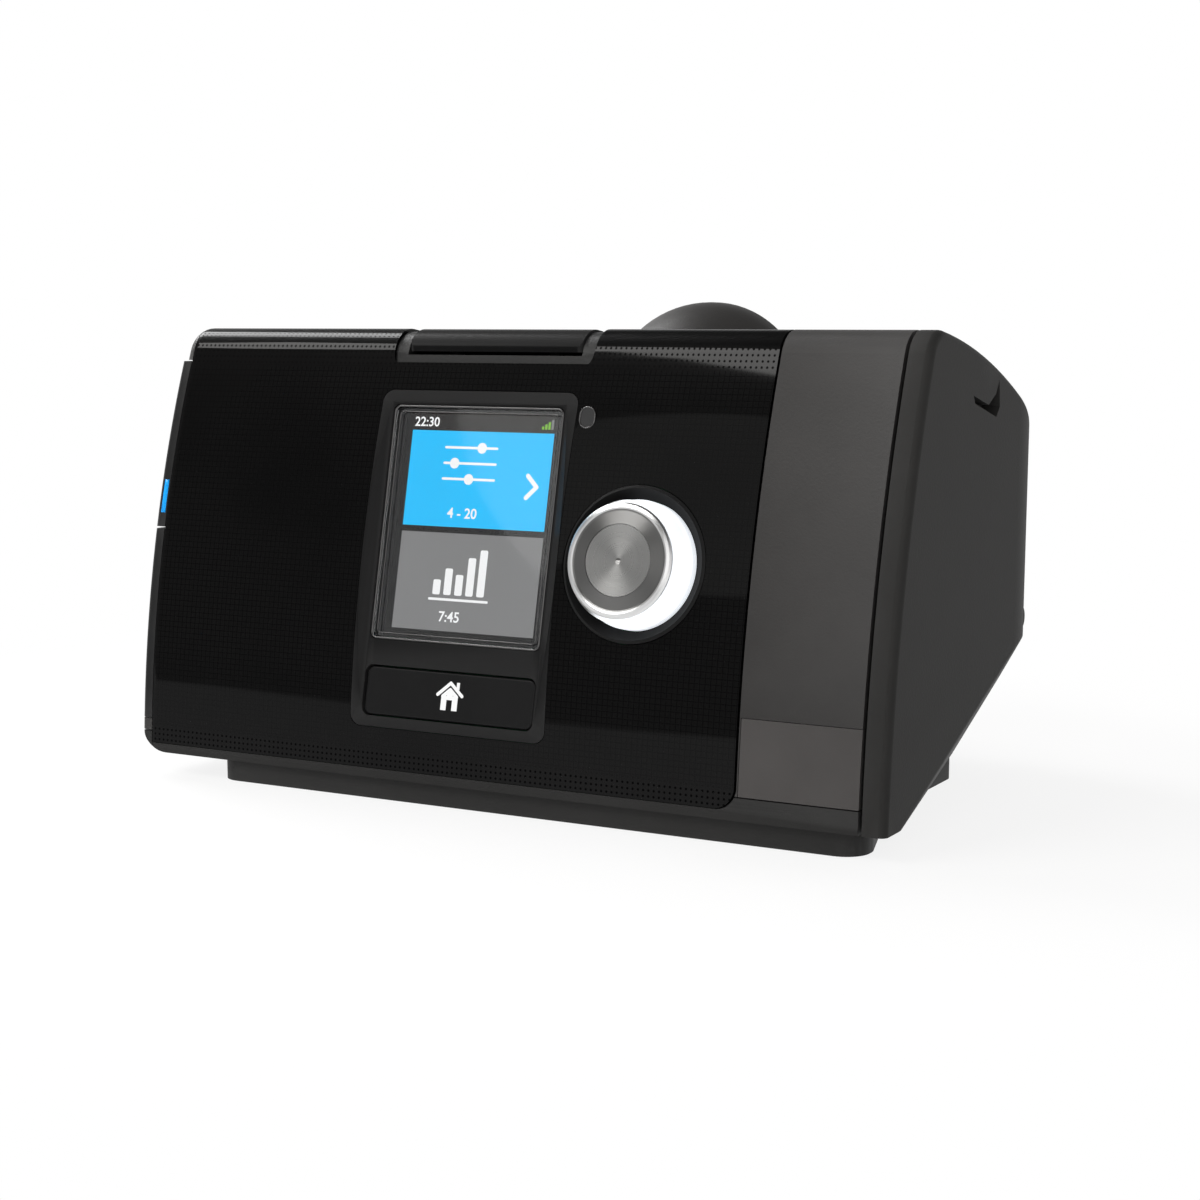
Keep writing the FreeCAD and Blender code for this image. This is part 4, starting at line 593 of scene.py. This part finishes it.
def disc(name, x, y, radius, thickness):
    return flat_shape(name, x - radius, x + radius, y - radius, y + radius,
                      radius * round_disc_share, thickness)


def one_piece(name, shapes):
    bpy.ops.object.select_all(action="DESELECT")
    for shape in shapes:
        shape.select_set(True)
    bpy.context.view_layer.objects.active = shapes[0]
    bpy.ops.object.join()
    joined = bpy.context.object
    joined.name = name
    return joined


def screen_number(name, words, left, low, height):
    """A plain white number on the display, drawn in millimetres."""
    bpy.ops.object.select_all(action="DESELECT")
    bpy.ops.object.text_add(location=(0, 0, 0))
    number = bpy.context.object
    number.name = name
    number.data.body = words
    number.data.size = height * text_size_share
    number.data.extrude = mark_film
    number.data.offset = height * stroke_swell_share
    number.data.resolution_u = 3
    bpy.ops.object.convert(target="MESH")
    number.data.transform(Matrix.Translation((left, low, 0)))
    cover_with(lit_white, number)
    return number


for tile_name, right, low, high, tile_colour in (
        ("screen_header", 41.6, 50.6, 54.6, header_dark),
        ("screen_blue_tile", 41.9, 27.2, 50.4, tile_blue),
        ("screen_grey_tile", 41.9, 2.1, 25.7, tile_grey)):
    on_screen(flat_shape(tile_name, tile_left, right, low, high, thickness=tile_film,
                         material=tile_colour), tile_lift)
on_screen(screen_number("screen_clock", "22:30", 2.6, 51.4, height=2.3))
signal_bars = []
for step, bar_colour in enumerate((lit_green, lit_green, lit_green, tile_grey)):
    left = 38.4 + step * 0.85
    signal_bars.append(flat_shape("signal_bar", left, left + 0.6, 51.3, 52.0 + step * 0.55,
                                  material=bar_colour))
on_screen(one_piece("screen_signal_bars", signal_bars))
slider_marks = []
for height, knob in ((46.4, 22.5), (42.6, 15.2), (38.8, 19.6)):
    slider_marks.append(flat_shape("slider_track", 12.0, 27.0, height - 0.3, height + 0.3,
                                   corner=0.28))
    slider_marks.append(disc("slider_knob", knob, height, 1.3, thickness=tile_film))
on_screen(one_piece("screen_sliders", slider_marks))
chevron = [slanting_bar("chevron_top", (36.0, 40.2), (38.6, 37.6), 1.1),
           slanting_bar("chevron_low", (38.6, 37.6), (36.0, 35.0), 1.1)]
on_screen(one_piece("screen_chevron", chevron))
on_screen(screen_number("screen_range", "4 - 20", 14.6, 29.4, height=2.5))
chart_bars = [flat_shape("chart_foot", 11.8, 28.6, 9.4, 10.0, corner=0.2)]
for step, height in enumerate((3.6, 6.4, 5.0, 9.2, 11.2)):
    left = 12.8 + step * 3.1
    chart_bars.append(flat_shape("chart_bar", left, left + 2.1, 10.8, 10.8 + height,
                                 corner=0.4))
on_screen(one_piece("screen_chart", chart_bars))
on_screen(screen_number("screen_hours", "7:45", 15.2, 4.4, height=2.5))

# ---------------------------------------------------------------- home mark
# The white house printed on the home button, a film that stands just proud of its face.
# Its roof stands a little clear of the walls.
print_film = 0.05
home_mark_middle = (-0.0093, -0.06998, 0.02683)
house = [flat_shape("house_walls", -2.3, -0.8, -3.4, 0.05, thickness=print_film),
         flat_shape("house_walls_right", 0.8, 2.3, -3.4, 0.05, thickness=print_film),
         flat_shape("house_lintel", -0.8, 0.8, -0.9, 1.0, thickness=print_film),
         slanting_bar("house_gable_left", (-1.9, -0.07), (0, 1.55), 0.9, print_film),
         slanting_bar("house_gable_right", (0, 1.55), (1.9, -0.07), 0.9, print_film),
         slanting_bar("house_roof_left", (-3.4, 0.25), (0, 3.15), 0.8, print_film),
         slanting_bar("house_roof_right", (0, 3.15), (3.4, 0.25), 0.8, print_film),
         flat_shape("house_chimney", 1.7, 2.5, 1.7, 3.4, thickness=print_film)]
home_mark = one_piece("home_mark", house)
stand_up(home_mark, home_mark_middle)
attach(home_mark, "home_key")

# ---------------------------------------------------------------- dial
# The push-and-turn dial: a silver knob with a spun cap stands in a white ring over a matte
# black dish. The ring is painted glowing white on its right side and dark grey on its left, a
# painted reflection. Its shaft runs through the bushing of the switch behind the panel.
dial_middle = (0.0374, -0.06523, 0.0604)
knob_step_radius = 0.0117
# The cap is darker within this radius of its middle: painted shade over a bright dot of
# reflection.
cap_painted_shade_radius = 0.0006
step_softness = 0.0001
ring_scale = 4200.0
ring_height = 0.00005
painted_reflection_tilt = -0.12          # the side of the white ring with the painted reflection is turned a little down
painted_reflection_edge = (-0.5, -0.12)
dish_black = moulded_plastic("matte_dish", (0.005, 0.005, 0.0052), roughness=0.5, grain=3000.0,
                             depth=0.1, wear=0.1, shine=0.1)
dress(dish_black, "dial_dish")


def from_dial(tree):
    """Where a point lies across and up from the dial's middle, and how far out."""
    to_dial = tree.nodes.new("ShaderNodeMapping")
    to_dial.vector_type = "TEXTURE"
    fill(tree, to_dial, {"Vector": object_place(tree), "Location": dial_middle,
                         "Rotation": (-front_lean, 0, 0)})
    across, _, up = parts_of(tree, to_dial.outputs["Vector"])
    return across, up, reach_of(tree, across, up)


ring_white, ring_tree, ring_shader = new_material("ring_with_painted_reflection")
ring_across, ring_up, ring_reach = from_dial(ring_tree)
# Painted reflection: the ring's colour and glow are bright white on its right and lower side and
# dark grey on its left, by direction from the dial's middle.
ring_side = calculated(ring_tree, "DIVIDE", calculated(
    ring_tree, "MULTIPLY_ADD", ring_up, painted_reflection_tilt, ring_across), ring_reach)
ring_painted_reflection = soft_step(ring_tree, ring_side, *painted_reflection_edge)
fill(ring_tree, ring_shader, {
    "Base Color": blended(ring_tree, ring_painted_reflection, (0.1, 0.1, 0.1, 1), (0.9, 0.92, 0.95, 1)),
    "Emission Color": blended(ring_tree, ring_painted_reflection, (0.02, 0.02, 0.02, 1), (0.9, 0.95, 1, 1)),
    "Emission Strength": 0.7, "Roughness": 0.35})
dress(ring_white, "light_ring")


def spun_metal(name, inner, outer, step_radius, roughness):
    """Metal turned about the dial's axis: fine rings, with a step in colour at the step radius
    that is partly painted light.
    """
    metal, tree, shader = new_material(name)
    across, up, reach = from_dial(tree)
    outward = tree.nodes.new("ShaderNodeCombineXYZ")
    fill(tree, outward, {"X": across, "Z": up})
    lean_back = tree.nodes.new("ShaderNodeMapping")
    lean_back.vector_type = "VECTOR"
    fill(tree, lean_back, {"Vector": outward.outputs["Vector"],
                           "Rotation": (-front_lean, 0, 0)})
    rings = tree.nodes.new("ShaderNodeTexNoise")
    rings.noise_dimensions = "1D"
    fill(tree, rings, {"W": reach, "Scale": ring_scale, "Detail": 2.0})
    outside = soft_step(tree, reach, step_radius - step_softness, step_radius + step_softness)
    fill(tree, shader, {
        "Metallic": 1.0, "Anisotropic": 0.75, "Tangent": lean_back.outputs["Vector"],
        "Base Color": blended(tree, outside, (*inner, 1), (*outer, 1)),
        "Roughness": graded(tree, rings.outputs["Fac"], 0.0, 1.0, roughness - 0.02,
                            roughness + 0.02),
        "Normal": relief(tree, rings.outputs["Fac"], 0.01, ring_height)})
    metal.diffuse_color = (*inner, 1)
    return metal


# The knob is brighter outside the step radius: this is its chrome rim, made lighter than the
# annulus partly as a painted highlight.
knob_silver = spun_metal("satin_silver", (0.195, 0.194, 0.191), (0.75, 0.75, 0.75),
                         knob_step_radius, roughness=0.3)
dress(knob_silver, "dial_knob")
# Painted shade: the cap's middle is darker, to hide a bright dot that its reflection shows there.
cap_spun = spun_metal("spun_cap", (0.16, 0.159, 0.157), (0.37, 0.368, 0.363),
                      cap_painted_shade_radius, roughness=0.28)
dress(cap_spun, "dial_cap")
dress(screw_steel, "dial_shaft")
dress(switch_plastic, "dial_encoder", "encoder_plunger")

# ---------------------------------------------------------------- label panel
# The small moulded trim panel under the band at the right, let into the casing's skin, a
# little lighter and warmer than the housing. It is left bare.
label_plastic = moulded_plastic("label_trim", (0.055, 0.051, 0.0495), roughness=0.42,
                                grain=2600.0, depth=0.15, wear=0.2)
dress(label_plastic, "label_panel")

# ---------------------------------------------------------------- side covers
# Two hinged covers on the left side close over the memory card and the adapter port. The
# upper one has a narrow blue strip along its front lip.
strip_inner_x = -0.0994
strip_outer_x = -0.1007
strip_thickness = 0.00012
weld_distance = 0.00001
lip_facing = -0.3              # the lip's faces turn at least this far to the front
lip_back_y = -0.045            # and lie in front of the hinge
cover_plastic = moulded_plastic("black_cover", (0.013, 0.013, 0.0133), roughness=0.42,
                                grain=2800.0, depth=0.15, wear=0.3, shine=0.12)
dress(cover_plastic, "sd_card_cover", "adapter_cover")
strip_blue = moulded_plastic("blue_strip", (0.0, 0.36, 0.95), roughness=0.3, grain=2800.0,
                             depth=0.05, wear=0.0)
strip_lo, strip_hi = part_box("adapter_cover_strip")
strip_face = nodes["adapter_cover"].copy()
strip_face.data = nodes["adapter_cover"].data.copy()
strip_face.name = "blue_lip_strip"
scene.collection.objects.link(strip_face)
bpy.ops.object.select_all(action="DESELECT")
strip_face.select_set(True)
bpy.context.view_layer.objects.active = strip_face
bpy.ops.object.mode_set(mode="EDIT")
bpy.ops.mesh.select_all(action="SELECT")
bpy.ops.mesh.remove_doubles(threshold=weld_distance)
for cut_place, cut_side in (((strip_inner_x, 0, 0), (1, 0, 0)),
                            ((strip_outer_x, 0, 0), (-1, 0, 0)),
                            ((0, 0, strip_hi[2]), (0, 0, 1)),
                            ((0, 0, strip_lo[2]), (0, 0, -1))):
    bpy.ops.mesh.select_all(action="SELECT")
    bpy.ops.mesh.bisect(plane_co=cut_place, plane_no=cut_side, clear_outer=True)
bpy.ops.mesh.select_all(action="DESELECT")
bpy.ops.object.mode_set(mode="OBJECT")
for face in strip_face.data.polygons:
    face.select = face.normal.y > lip_facing or face.center.y > lip_back_y
bpy.ops.object.mode_set(mode="EDIT")
bpy.ops.mesh.delete(type="FACE")
bpy.ops.object.mode_set(mode="OBJECT")
bpy.ops.object.modifier_add(type="SOLIDIFY")
strip_wall = strip_face.modifiers[-1]
strip_wall.thickness = strip_thickness
strip_wall.offset = 1.0
bpy.ops.object.modifier_apply(modifier=strip_wall.name)
cover_with(strip_blue, strip_face)
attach(strip_face, "adapter_door")
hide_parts("adapter_cover_strip")
dress(screw_steel, "hinge_pins")

# ---------------------------------------------------------------- boards and card
# The main board stands upright inside the housing with its parts. The adapter port and the
# steel socket that holds the memory card lie on it.
dress(board_mask, "main_board")
dress(switch_plastic, "board_components", "adapter_port", "sd_card")
dress(screw_steel, "sd_card_socket")

# ---------------------------------------------------------------- water tub
# A clear tub with a hinged lid, a rubber seal between them, a metal plate in its floor, and
# the dark end cover that closes the bay.
tub_clear = clear_material("clear_tub", (0.9, 0.93, 0.96), ior=1.5, smear_scale=80.0,
                           haze=(0.05, 0.16))
dress(tub_clear, "tub_base", "tub_lid")
dress(foot_rubber, "tub_seal")
dress(screw_steel, "tub_hinge_pin")
plate_metal = turned_metal("heat_plate", (0.7, 0.71, 0.72), 0.32, 300.0)
dress(plate_metal, "tub_contact_plate")
tub_cover_plastic = moulded_plastic("dark_tub_cover", (0.0258, 0.0253, 0.0246), roughness=0.5,
                                    grain=1700.0, depth=0.45, wear=0.35, shine=0.06)
dress(tub_cover_plastic, "tub_cover")

# ---------------------------------------------------------------- heater
# The aluminium hot plate under the tub. It floats on four bowed leaf springs of steel, which
# stand on the floor of the tray and press it up.
dress(plate_metal, "heater_plate")
dress(screw_steel, "heater_springs")

# ---------------------------------------------------------------- blower and air path
# A small centrifugal blower on three rubber mounts, its motor below it, and the duct and
# chamber that lead the air to the tub and back to the outlet.
duct_plastic = moulded_plastic("grey_duct", (0.22, 0.23, 0.25), roughness=0.5, grain=1800.0,
                               depth=0.2, wear=0.1)
dress(duct_plastic, "blower_lower", "blower_upper", "impeller", "air_duct", "outlet_plenum")
motor_steel = turned_metal("motor_steel", (0.35, 0.35, 0.37), 0.38, 700.0)
dress(motor_steel, "motor_can", "motor_stator", "motor_rotor", "motor_shaft", "motor_bearings")
dress(foot_rubber, "port_seals", "blower_mounts", "outlet_seal")
dress(switch_plastic, "flow_sensor")

# ---------------------------------------------------------------- air outlet
# The standard air connector, moulded in black plastic. It plugs into the back of the hump
# over a rubber seal and takes the tube's cuff.
outlet_plastic = moulded_plastic("black_outlet", (0.024, 0.024, 0.025), roughness=0.4,
                                 grain=2600.0, depth=0.15, wear=0.3)
dress(outlet_plastic, "outlet_connector")

# ---------------------------------------------------------------- filter
# A louvred cover at the back, moulded like the housing, swings open over the paper filter
# and the silencing foam.
dress(housing_plastic, "filter_cover")
filter_fibre = moulded_plastic("white_fibre", (0.7, 0.71, 0.72), roughness=0.9, grain=500.0,
                               depth=1.0, wear=0.0)
dress(filter_fibre, "air_filter")
foam_grey = moulded_plastic("grey_foam", (0.12, 0.12, 0.13), roughness=0.95, grain=700.0,
                            depth=1.0, wear=0.0)
dress(foam_grey, "muffler_foam")

# ---------------------------------------------------------------- power inlet
# The round power socket at the back, and the black bail over it that swings down to keep
# the plug in.
dress(switch_plastic, "power_inlet")
dress(cover_plastic, "retention_clip")
